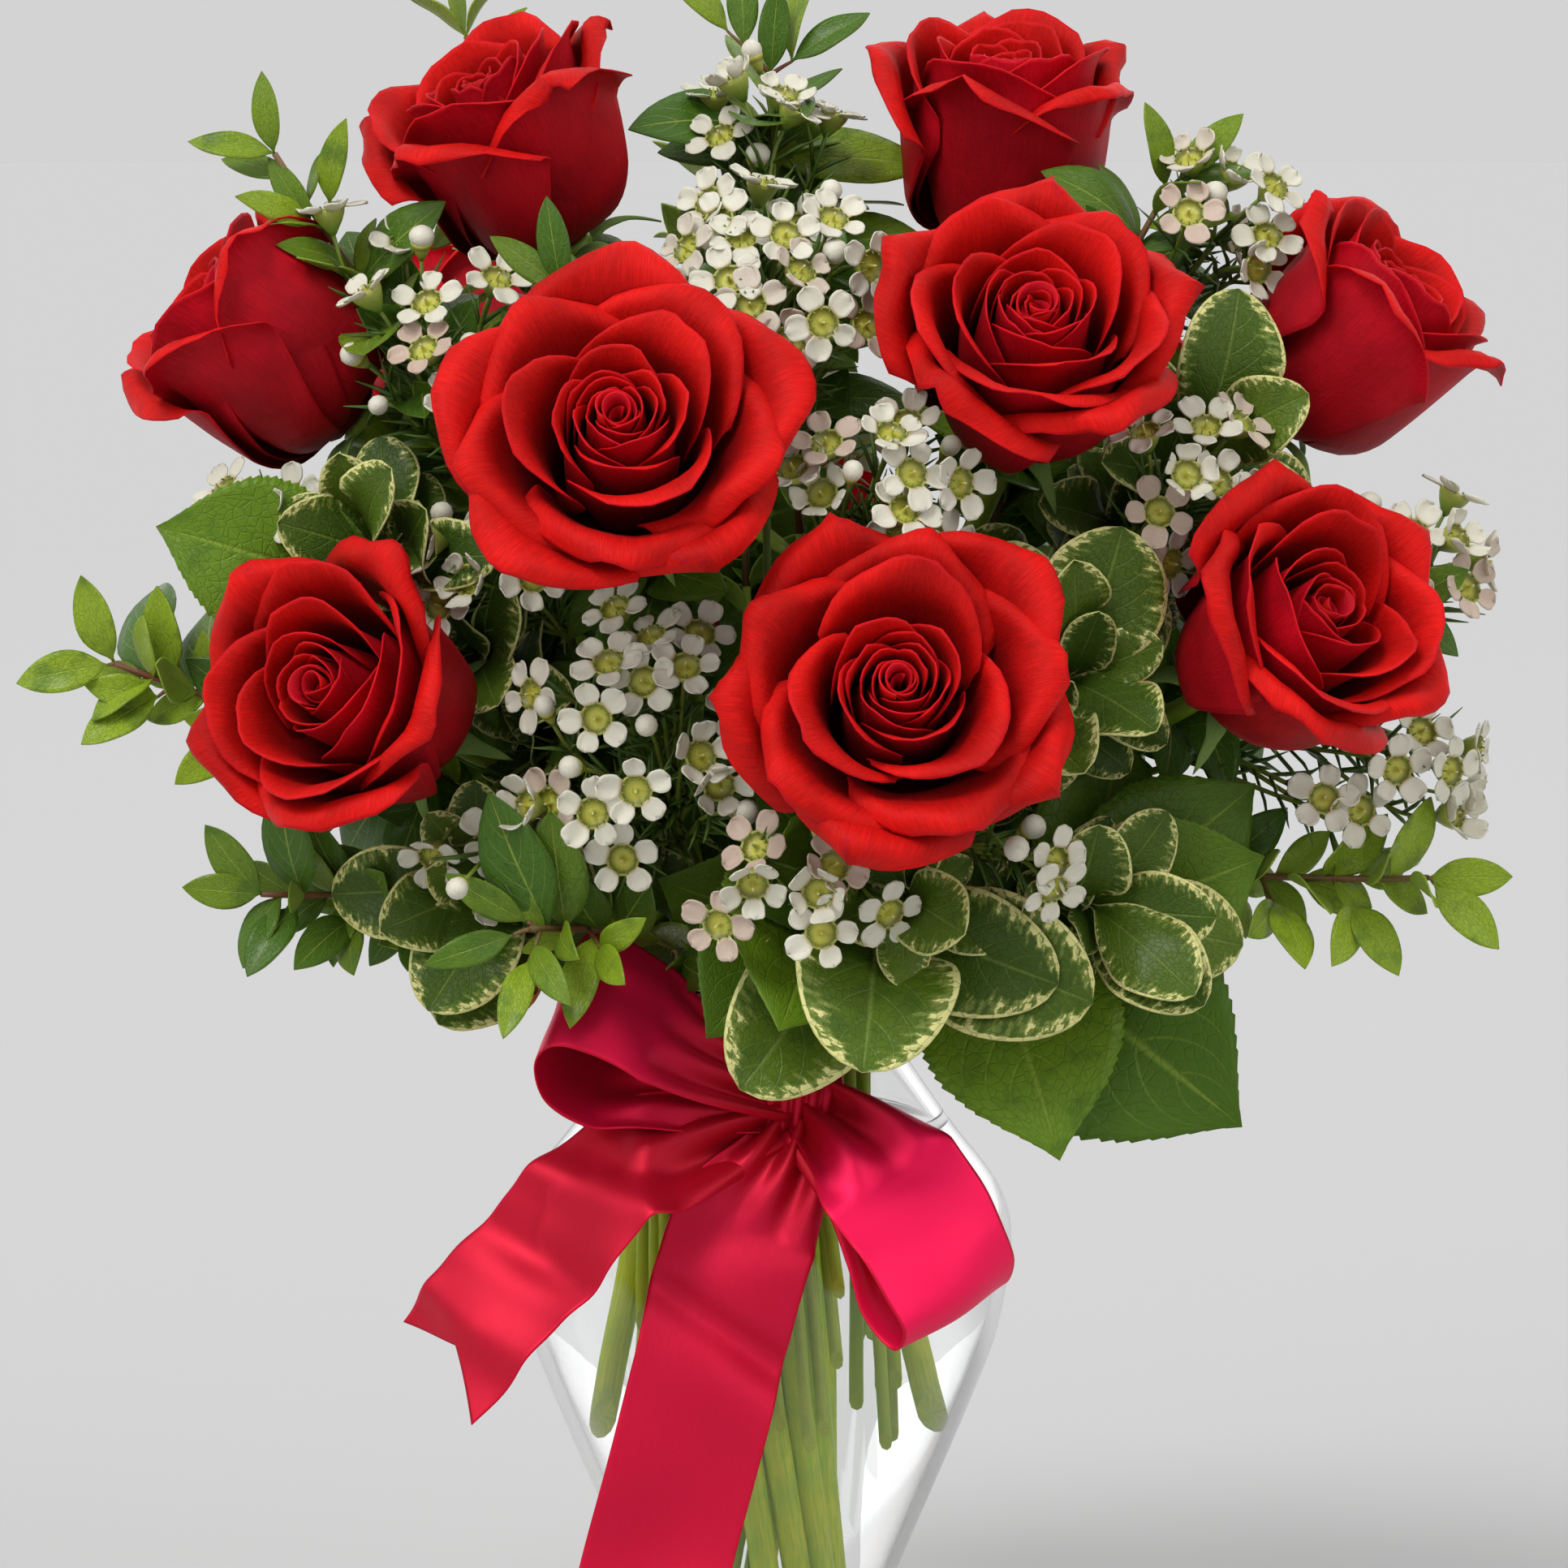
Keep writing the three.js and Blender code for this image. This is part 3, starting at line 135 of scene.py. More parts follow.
# name, end of the stem, and the tips of its leaves, some with a breadth, or its heads of flowers: centre,
# half width, half height and number of flowers
SPRAYS = [
    ("salal_right", (76, -56, 238), [(75, -80, 182), (122, -64, 188), (128, -52, 256), (110, -30, 206)]),
    ("salal_front", (21, -64, 256), [(24, -112, 222), (-14, -86, 214), (-30, -64, 238)]),
    ("salal_left", (-104, -44, 324), [(-154, -50, 340), (-130, -30, 290), (-84, -20, 280)]),
    ("salal_back", (0, 70, 262), [(-46, 104, 232), (44, 106, 228), (-6, 116, 214), (70, 84, 256),
        (-74, 80, 254)]),
    ("pittosporum_front", (37, -85, 250), [(20, -104, 194, 1.15), (50, -102, 208), (72, -96, 208),
        (-6, -112, 240), (50, -116, 244)]),
    ("pittosporum_low_right", (82, -70, 246), [(108, -94, 226), (114, -82, 244), (88, -102, 218),
        (122, -60, 234), (74, -98, 264), (102, -76, 270)]),
    ("pittosporum_right", (76, -64, 302), [(90, -80, 342, 1.3), (60, -76, 338), (98, -94, 292),
        (80, -98, 282), (102, -62, 322)]),
    ("pittosporum_upper_right", (110, -36, 356), [(121, -42, 400, 1.1), (138, -56, 374), (140, -40, 346),
        (94, -34, 386), (128, -56, 340)]),
    ("pittosporum_left", (-96, -46, 334), [(-122, -66, 342), (-84, -76, 346), (-66, -64, 330),
        (-98, -34, 362)]),
    ("pittosporum_low_left", (-70, -56, 250), [(-84, -80, 220), (-56, -84, 218), (-110, -50, 246),
        (-96, -78, 240), (-44, -84, 244)]),
    ("pittosporum_back_left", (-70, 66, 306), [(-100, 94, 290), (-58, 106, 300), (-106, 62, 322),
        (-44, 86, 334), (-84, 84, 274)]),
    ("pittosporum_back_right", (74, 66, 296), [(104, 92, 282), (58, 104, 284), (108, 58, 314),
        (50, 88, 324), (88, 84, 262)]),
    ("huckleberry_far_left", (-166, -38, 304), [(-191, -40, 299), (-174, -42, 327), (-174, -46, 284),
        (-155, -38, 324), (-150, -48, 274)]),
    ("huckleberry_low_left", (-128, -50, 246), [(-148, -52, 248), (-142, -52, 264), (-131, -60, 226),
        (-110, -64, 226), (-90, -64, 228), (-116, -50, 267)]),
    ("huckleberry_bottom", (-58, -90, 242), [(-84, -98, 234), (-79, -90, 256), (-64, -108, 217),
        (-34, -104, 230)]),
    ("huckleberry_top_left", (-125, -25, 434), [(-147, -26, 437), (-128, -26, 455), (-138, -32, 420),
        (-124, -36, 411), (-106, -34, 443)]),
    ("huckleberry_top", (-78, 24, 464), [(-95, 20, 476), (-80, 22, 487), (-64, 20, 483),
        (-60, 24, 468)]),
    ("huckleberry_top_centre", (2, 14, 454), [(-26, 12, 482), (4, 12, 478), (28, 16, 470),
        (20, 4, 444)]),
    ("huckleberry_top_right", (104, -14, 424), [(98, -22, 447), (124, -12, 444), (92, -32, 412),
        (122, -20, 418)]),
    ("huckleberry_low_right", (170, -48, 250), [(138, -60, 228), (162, -58, 226), (188, -52, 232),
        (160, -44, 266), (192, -46, 250)]),
    ("huckleberry_right", (160, -32, 318), [(181, -36, 328), (178, -40, 306), (167, -26, 340)]),
    ("huckleberry_middle", (-50, -66, 400), [(-68, -70, 414), (-54, -66, 424), (-32, -74, 412)]),
    ("huckleberry_back", (-10, 66, 420), [(-30, 74, 436), (-6, 76, 444), (10, 82, 426), (-30, 84, 410)]),
    ("waxflower_upper", (1, -24, 396), [((2, -62, 408), 31, 27, 20), ((0, -6, 446), 22, 14, 8)]),
    ("waxflower_centre", (20, -60, 328), [((31, -96, 354), 28, 20, 13)]),
    ("waxflower_right", (92, -38, 326), [((110, -70, 350), 17, 22, 9)]),
    ("waxflower_far_right", (148, -28, 290), [((174, -34, 334), 18, 24, 7),
        ((168, -42, 274), 28, 22, 10)]),
    ("waxflower_left", (-22, -56, 264), [((-32, -92, 290), 34, 34, 20)]),
    ("waxflower_low", (24, -62, 261), [((8, -112, 252), 28, 14, 7), ((68, -100, 260), 13, 9, 4)]),
    ("waxflower_upper_left", (-78, -30, 356), [((-89, -46, 394), 26, 32, 11),
        ((-130, -44, 348), 12, 8, 3)]),
    ("waxflower_mid_left", (-51, -44, 312), [((-74, -66, 334), 24, 14, 9),
        ((-74, -76, 256), 19, 13, 6)]),
    ("waxflower_high_right", (96, 14, 384), [((124, -22, 420), 22, 16, 8)]),
    ("waxflower_back", (-4, 69, 339), [((0, 104, 366), 34, 24, 14), ((-62, 100, 300), 26, 20, 8)]),
]

FULL = 19  # half of the ribbon's width
LEFT_LOOP_WAY = (0.22, 0.68, 0.70)
RIGHT_LOOP_WAY = (0.74, 0.6, 0.3)
CENTRE_TAIL_WAY = (0.97, 0.05, -0.24)
KNOT = np.array([9.0, -48.0, 192.0])
KNOT_SIZE = (11, 12, 11)
BAND_HEIGHTS = (199, 211)
BAND_RADIUS = 37.3  # inner radius of the ribbon round the neck

# Each strip of the bow from the knot outwards: place, half width and the way of the width.
RIBBON_STRIPS = {
    "left_loop": [
        ((8, -54, 195), 8, (0, 0.4, 0.9)), ((-15, -68, 207), 14, LEFT_LOOP_WAY),
        ((-27, -74, 216), FULL, LEFT_LOOP_WAY), ((-39, -77, 223), FULL, LEFT_LOOP_WAY),
        ((-48, -76, 225), FULL, LEFT_LOOP_WAY), ((-53, -68, 219), FULL, LEFT_LOOP_WAY),
        ((-51, -57, 208), FULL, LEFT_LOOP_WAY), ((-40, -54, 201), FULL, LEFT_LOOP_WAY),
        ((-23, -59, 200), 16, LEFT_LOOP_WAY), ((6, -54, 193), 8, (0, 0.4, 0.9))],
    "right_loop": [
        ((12, -54, 193), 8, (0.5, 0.5, 0.7)), ((25, -74, 186), 15, (0.93, 0.2, 0.3)),
        ((32, -83, 179), FULL, (0.93, 0.25, 0.27)), ((40, -87, 169), FULL, (0.9, 0.35, 0.2)),
        ((46, -88, 158), FULL, (0.84, 0.48, 0.24)), ((50, -85, 148), FULL, RIGHT_LOOP_WAY),
        ((47, -76, 141), FULL, RIGHT_LOOP_WAY), ((38, -70, 148), 18, RIGHT_LOOP_WAY),
        ((32, -68, 159), 15, RIGHT_LOOP_WAY), ((24, -64, 172), 12, RIGHT_LOOP_WAY),
        ((11, -56, 188), 8, (0.7, 0.3, 0.5))],
    "left_tail": [
        ((6, -56, 190), 8, (-0.2, 0, 1)), ((-15, -65, 185), 14, (-0.25, 0.35, 0.9)),
        ((-33, -70, 178), FULL, (-0.35, 0.6, 0.72)), ((-49, -73, 165), FULL, (-0.5, 0.7, 0.5)),
        ((-63, -72, 151), FULL, (-0.52, 0.58, 0.62)), ((-73, -69, 137), FULL, (-0.5, 0.58, 0.64)),
        ((-83, -66, 125), FULL, (-0.46, 0.6, 0.65))],
    "centre_tail": [
        ((9, -57, 189), 8, (1, 0, 0.1)), ((4, -65, 177), 14, (0.98, 0.1, -0.1)),
        ((-4, -69, 163), FULL, CENTRE_TAIL_WAY), ((-9, -70.5, 148), FULL, CENTRE_TAIL_WAY),
        ((-14, -71, 127), FULL, CENTRE_TAIL_WAY), ((-20, -72, 103), FULL, CENTRE_TAIL_WAY),
        ((-26, -72, 80), FULL, CENTRE_TAIL_WAY), ((-30, -72, 64), FULL, CENTRE_TAIL_WAY)],
}
NOTCH = 12  # depth of the cut in a tail's end

# Petal layers from the outside in; the first and third are those of the solids. Each pair is the half-open
# and the fully open bloom. random: number of the layer in the solids' draws, or of its own draws. close: by
# how many degrees every other petal stays more closed at its tip. point: how pointed the others' tips are.
PETAL_LAYERS = [
    {"count": (5, 5), "root": 8, "turn": 0, "spiral": 3.6, "length": (65, 62), "half": (24, 28),
     "random": 0, "lean": ((5, 82, 96, 0), (8, 70, 52, -26)), "curl": (1.0, 0.9), "close": (46, 14),
     "point": (1.0, 0.12)},
    {"count": (4, 5), "root": 7, "turn": 38, "spiral": 2.6, "length": (63, 60), "half": (27, 26),
     "random": 2, "lean": ((9, 84, 98, 76), (10, 76, 60, 2)), "curl": (0.45, 0.7), "close": (14, 12),
     "point": (0.5, 0.1)},
    {"count": (3, 3), "root": 5, "turn": 40, "spiral": 1.6, "length": (60, 57), "half": (21, 24),
     "random": 1, "lean": ((22, 86, 96, 86), (18, 84, 74, 30)), "curl": (0.2, 0.4), "close": (8, 8),
     "point": (0.3, 0.2)},
    {"count": (2, 4), "root": 4.5, "turn": 70, "spiral": 2.4, "length": (57, 51), "half": (22, 17),
     "random": 3, "lean": ((30, 88, 98, 94), (30, 88, 88, 66)), "curl": (0.12, 0.22), "close": (4, 12),
     "point": (0.2, 0.3)},
    {"count": (2, 4), "root": 4, "turn": 20, "spiral": 2.0, "length": (55, 49), "half": (18, 14),
     "random": 4, "lean": ((36, 90, 98, 96), (36, 90, 93, 80)), "curl": (0.1, 0.16), "close": (3, 8),
     "point": (0.2, 0.2)},
    {"count": (2, 3), "root": 3.5, "turn": 100, "spiral": 1.8, "length": (53, 48), "half": (15, 14),
     "random": 5, "lean": ((44, 90, 98, 96), (44, 90, 95, 86)), "curl": (0.08, 0.13), "close": (2, 5),
     "point": (0.1, 0.2)},
    {"count": (2, 3), "root": 3, "turn": 5, "spiral": 1.5, "length": (51, 47), "half": (12, 11),
     "random": 6, "lean": ((52, 90, 97, 95), (52, 91, 96, 90)), "curl": (0.06, 0.1), "close": (2, 4),
     "point": (0.1, 0.1)},
    {"count": (2, 3), "root": 2.2, "turn": 50, "spiral": 1.2, "length": (50, 46), "half": (10, 9),
     "random": 7, "lean": ((60, 91, 98, 95), (60, 92, 97, 92)), "curl": (0.05, 0.08), "close": (2, 4),
     "point": (0.1, 0.1)},
]
FEW_PETALS_TO = 0.45  # blooms less open than this have the number of petals of the half-open one
PETAL_WAIST = 0.35  # a petal's slope is given at these shares of its length, and at its root and tip
PETAL_SHOULDER = 0.75
PETAL_BROAD = 0.6  # share of its length at which it has its full width
RIM_DROP = 0.26  # by what share of the length its corners fall short of its tip
ROLL_RADIUS = 3.6
ROLL_REACH = 9.5  # how much of a corner rolls back
CORNER_WAYS = (52, 34)  # degrees up from the width at which a round and a pointed petal roll back
OUTER_ROOT = 5  # petals that start this far out or farther bend round no smaller circle than WRAP_RADIUS
WRAP_RADIUS = 9
PETAL_THICKNESS = 0.4
PETAL_ROWS, PETAL_COLUMNS = 22, 17
HEART_TURNS = 2.6
HEART_THICKNESS = 0.45
SEPAL_THICKNESS = 0.5
SEPALS = 5
# Profiles as (height, radius): the seat of a bloom's petals, and the hip below it.
SEAT_PROFILE = [(-0.9, 0), (-0.9, 7), (0.4, 9), (3, 9.5), (12, 7), (14, 0)]
HIP_PROFILE = [(-13, 0), (-13, 2.9), (-10.5, 3.2), (-7.5, 4.5), (-4.5, 6.1), (-2, 6.6), (-0.4, 6.3), (0, 5.4),
               (0, 0)]

# Leaves of each kind: usual length, angle to the stem, breadth by length, the usual arch and fold, the number
# and depth of the teeth, the height of the waves, the rows of points of an outer leaf, of one along the stem
# and of one deep in the bouquet, and the outline as (share of the length, share of the half breadth).
LEAF_KINDS = {
    "salal": {
        "length": 56, "angle": 45, "broad": 0.8, "arch": 0.07, "fold": 0.14, "teeth": (25, 0.06),
        "wave": 0.03, "rows": 100, "filler_rows": 76, "inner_rows": 76,
        "outline": [(0, 0.03), (0.08, 0.04), (0.11, 0.14), (0.17, 0.46), (0.25, 0.77), (0.34, 0.95),
                    (0.44, 1), (0.55, 0.97), (0.66, 0.86), (0.77, 0.64), (0.87, 0.36), (0.94, 0.15), (1, 0)]},
    "pittosporum": {
        "length": 40, "angle": 50, "broad": 0.56, "arch": 0.11, "fold": 0.12, "teeth": (0, 0),
        "wave": 0.085, "rows": 26, "filler_rows": 16, "inner_rows": 14,
        "outline": [(0, 0.05), (0.1, 0.07), (0.18, 0.24), (0.3, 0.58), (0.45, 0.86), (0.58, 0.99),
                    (0.7, 0.98), (0.81, 0.85), (0.9, 0.64), (0.96, 0.41), (0.99, 0.2), (1, 0)]},
    "huckleberry": {
        "length": 24, "angle": 50, "broad": 0.5, "arch": 0.08, "fold": 0.1, "teeth": (0, 0),
        "wave": 0.02, "rows": 18, "filler_rows": 16, "inner_rows": 14,
        "outline": [(0, 0.07), (0.05, 0.1), (0.13, 0.44), (0.26, 0.82), (0.4, 0.99), (0.54, 1), (0.68, 0.88),
                    (0.82, 0.62), (0.93, 0.28), (1, 0)]},
}
LEAF_THICKNESS = 0.45

FLORET_RADIUS = 9.7
FLORET_ROOT = 3.6  # where a floret's petals start
FLORET_PETAL = 3.15  # half the width of a floret's petal
BUD_RADIUS = 3.8
BUD_SHARE = 0.22
SHOWN_FLOWERS = 4  # the solids have every fourth flower of a head
HEAD_DOME = 14
HEAD_JITTER = 8
TWIG_LENGTH = 38
TWIG_ANGLE = 30

# ---------------------------------------------------------------- finer details

# Profiles of a floret's cup with its disc and style, and of a bud, as (height, radius).
CUP_PROFILE = [(-6.2, 0), (-6.2, 0.8), (-5, 1.6), (-3, 3.0), (-1, 4.0), (0.3, 4.3), (0.6, 4.0), (0.2, 3.5),
               (-0.6, 3.0), (-0.8, 1.6), (-0.6, 0.6), (1.0, 0.35), (2.2, 0.3), (2.3, 0)]
BUD_CUP = [(-6.0, 0), (-6.0, 0.7), (-4.6, 1.5), (-2.6, 2.6), (-0.9, 3.2), (-0.7, 2.8), (-0.7, 0)]
BUD_DOME = [(-1.2, 0), (-1.2, 2.7), (-0.4, 3.3), (0.6, 3.6), (1.6, 3.5), (2.6, 2.7), (3.3, 1.5), (3.6, 0.5),
            (3.5, 0)]
FLORET_PETALS = 5
FLORET_THICKNESS = 0.35
STAMENS = 10
TWIG_FOOT = 5.8  # where a twig ends, below the centre of its flower
NEEDLE_SPACING = 5
FLOWER_CLEARANCE = 5.0
NEEDLE_CLEARANCE = 0.8
# Which of a mesh's materials a part takes, where it isn't the first: the sepals of a rose, the twigs and the
# stem of a spray, and the petals and the cups of waxflowers.
SEPAL_PART = 1
TWIG_PART, STEM_PART = 1, 2
PETAL_PART, CUP_PART = 2, 3

# How far off a corner of the solid may lie from a ring of a stem, a leaf's tip and a flower's middle.
RING_ROOM, LEAF_ROOM, FLOWER_ROOM = 0.03, 0.6, 0.1

# Number, shortest and longest length and breadth of the leaves along a stem.
FILLERS = {"salal": (5, 36, 50, 0.8), "pittosporum": (22, 20, 34, 0.9), "huckleberry": (26, 16, 24, 1.0)}
FILLER_REACH = (0.42, 0.56)  # where on a stem they start, and over what share of it they go on
FILLER_SIZES = (1.0, 0.8, 0.62)  # a leaf without room is tried again at these shares of its length
TIP_LEAF_LENGTH = 24  # of the leaf at the tip of a huckleberry's side twig
USUAL_BREADTH = 0.9
USUAL_GAP, SLIM_GAP = 6.5, 4.6  # least way from leaf to leaf along such a twig
TWIGLET_ROOM, FILLER_ROOM = 5, 6  # how far leaves may reach out of the box of their solid
# How much lighter the leaves of a sprig are than usual, up to 1.
FRESH = {"huckleberry_far_left": 0.75, "huckleberry_bottom": 0.25, "huckleberry_low_right": 0.55,
         "huckleberry_top_left": 0.3, "huckleberry_top": 0.3, "pittosporum_front": 0.15}
SLIM = 0.68  # breadth of the leaves on the sprigs whose leaves are narrow
SLIM_LENGTH = 1.2  # and how much longer they are
SLIM_SPRAYS = {"huckleberry_top_left", "huckleberry_top", "huckleberry_top_centre", "huckleberry_top_right",
               "huckleberry_middle", "huckleberry_bottom", "huckleberry_back"}
MORE_LEAVES = {"salal_right": [(126, -46, 274), (92, -40, 288)]}  # tips of leaves from the stem's end
SPARSE = {"huckleberry_bottom": 7, "huckleberry_low_left": 16}  # sprigs with fewer leaves along the stem
# Leaves deep in the bouquet: centre and half axes of its body, nearest and farthest share of them, the
# least height and distance from leaf to leaf, and the range of their lengths.
BODY_CENTRE, BODY_SIZE = np.array([0.0, 0.0, 316.0]), np.array([180.0, 122.0, 152.0])
BODY_SHARES = (0.42, 0.88)
LOWEST_LEAF = 222
LEAF_SPACING = 14
INNER_LENGTHS = (20, 44)
INNER_LENGTH = 30  # the best of them
INNER_TRIES = 3600
# How much darker than usual the leaves deep in the bouquet are painted, as painted shade.
INNER_PAINTED_SHADE = -0.4
INNER_CLEARANCE = 2.5

# How each strip is held, its pleats at the knot, its ripple, the notch in its end, how light its satin is
# painted (painted highlight and shade), and its soft folds: place along it, height, length and slant.
RIBBON_FOLDS = {
    "left_loop": {
        "held": "folded", "pleats": 3, "ripple": 0.9, "notch": 0, "tint_and_shade": 0.55,
        "waves": [(0.3, 1.2, 0.08, 0.05)]},
    "right_loop": {
        "held": "folded", "pleats": 2, "ripple": 0.9, "notch": 0, "tint_and_shade": 1.0,
        "waves": [(0.2, 1.8, 0.05, 0.06), (0.3, 1.5, 0.07, 0.06), (0.72, 1.0, 0.06, 0)]},
    "left_tail": {
        "held": "hung", "pleats": 2, "ripple": 1.0, "notch": NOTCH, "tint_and_shade": 0.08,
        "waves": [(0.3, 2.2, 0.04, -0.05), (0.42, 4.4, 0.06, 0.06), (0.6, -4.0, 0.06, 0.05),
                  (0.82, 3.0, 0.07, 0.04)]},
    "centre_tail": {
        "held": "hung", "pleats": 3, "ripple": 1.0, "notch": NOTCH, "tint_and_shade": 0.3,
        "waves": [(0.3, 1.8, 0.08, -0.04), (0.5, 4.2, 0.035, 0.05), (0.6, -1.8, 0.05, 0.04),
                  (0.85, 2.0, 0.1, -0.03)]},
}
RIBBON_THICKNESS = 0.45
STRIP_ROWS, STRIP_COLUMNS = 84, 33
GATHERED = 12  # half width up to which a strip is taut, and painted dark as shade
BAND_THICKNESS = 0.35  # where it is pressed round the neck
KNOT_PLEATS = 6
# How light the knot's satin is painted: low, as painted shade in the knot.
KNOT_PAINTED_SHADE = 0.1

ANY_TURN = 6.28  # radians of a full turn, near enough for random ones
CUT_EDGE = 0.92  # share of a slanting cut's radius at which one more ring keeps its rim sharp
STEM_UV_LENGTH = 40  # length of stem for one unit of v
LIGHTEST = 0.85  # of any stem's colour in the water

BACKDROP = 0.6515  # strength of the even background that the camera sees
SKY = (0.25, 0.72)  # glow of the studio at the horizon and overhead
# Bright panels: way, cosines at the outer and inner edge, and glow.
PANELS = [((-1.0, -0.9, 0.9), 0.86, 0.93, 1.9), ((1.2, -0.7, 0.5), 0.90, 0.95, 0.8),
          ((0.3, 1.0, 0.9), 0.88, 0.95, 0.8)]
BACK_GLOW = 0.75  # of the low wall behind, which shows through the glass
CAMERA_ELEVATION = 6
CAMERA_DISTANCE = 1.8
CAMERA_TARGET = np.array([0.0055, 0, 0.269])
FOCAL_LENGTH = 157.6
# Name, way from the part, strength and spread in degrees of the far lamps.
SUNS = [("key", (-0.4, -0.75, 1.1), 1.2, 20), ("fill", (0.9, -0.9, 0.7), 0.42, 50)]
FLOOR_RADIUS = 30  # in metres, so that its edge isn't seen
FLOOR_DROP = 0.0005  # in metres, so that it doesn't lie in one plane with the vase's foot

# ---------------------------------------------------------------- numbers and directions


def unit(v):
    return v / np.linalg.norm(v)


def units(rows):
    return rows / np.linalg.norm(rows, axis=1, keepdims=True)


def mix(a, b, share):
    return a + (b - a) * share


def polar(radius, azimuth, height):
    angle = math.radians(azimuth)
    return np.array([radius * math.cos(angle), radius * math.sin(angle), height])


def smooth(points, count):
    """A smooth curve through points, at even steps from point to point."""
    points = np.asarray(points, dtype=float)
    padded = np.concatenate([[2 * points[0] - points[1]], points, [2 * points[-1] - points[-2]]])
    place = np.linspace(0, len(points) - 1, count)
    k = np.minimum(place.astype(int), len(points) - 2)
    t = (place - k)[:, None]
    a, b, c, d = (padded[k + step] for step in range(4))
    return b + 0.5 * t * (c - a + t * (2 * a - 5 * b + 4 * c - d + t * (3 * (b - c) + d - a)))


def seeded(seed):
    """Random numbers from 0 to 1, the same run for the same seed as in the solids."""
    state = [(seed * 7919 + 17) % 2147483647]

    def draw():
        state[0] = state[0] * 16807 % 2147483647
        return state[0] / 2147483647

    return draw


def across(axis):
    """Two directions across an axis: the first is level unless the axis is upright."""
    helper = np.array([1.0, 0, 0]) if abs(axis[2]) > 0.97 else UP
    side = unit(np.cross(helper, axis))
    return side, np.cross(axis, side)


def around(axis, angle):
    """The direction across an axis at an angle round it."""
    side, up = across(axis)
    return side * math.cos(angle) + up * math.sin(angle)


def grid(rows, columns):
    """A share t from 0 to 1 from row to row, and a place s from -1 to 1 from column to column."""
    return np.meshgrid(np.linspace(0, 1, rows), np.linspace(-1, 1, columns), indexing="ij")


def facing_at(point):
    """The way a leaf or floret looks: out of the bouquet, and to the front where it is in front."""
    out = unit(point - BOUQUET_HEART)
    return unit(out * 0.5 + FRONT * 0.8) if point[1] < FRONT_HALF else out


# ---------------------------------------------------------------- meshes


def add_object(name, data):
    made = bpy.data.objects.new(name, data)
    bpy.context.collection.objects.link(made)
    return made


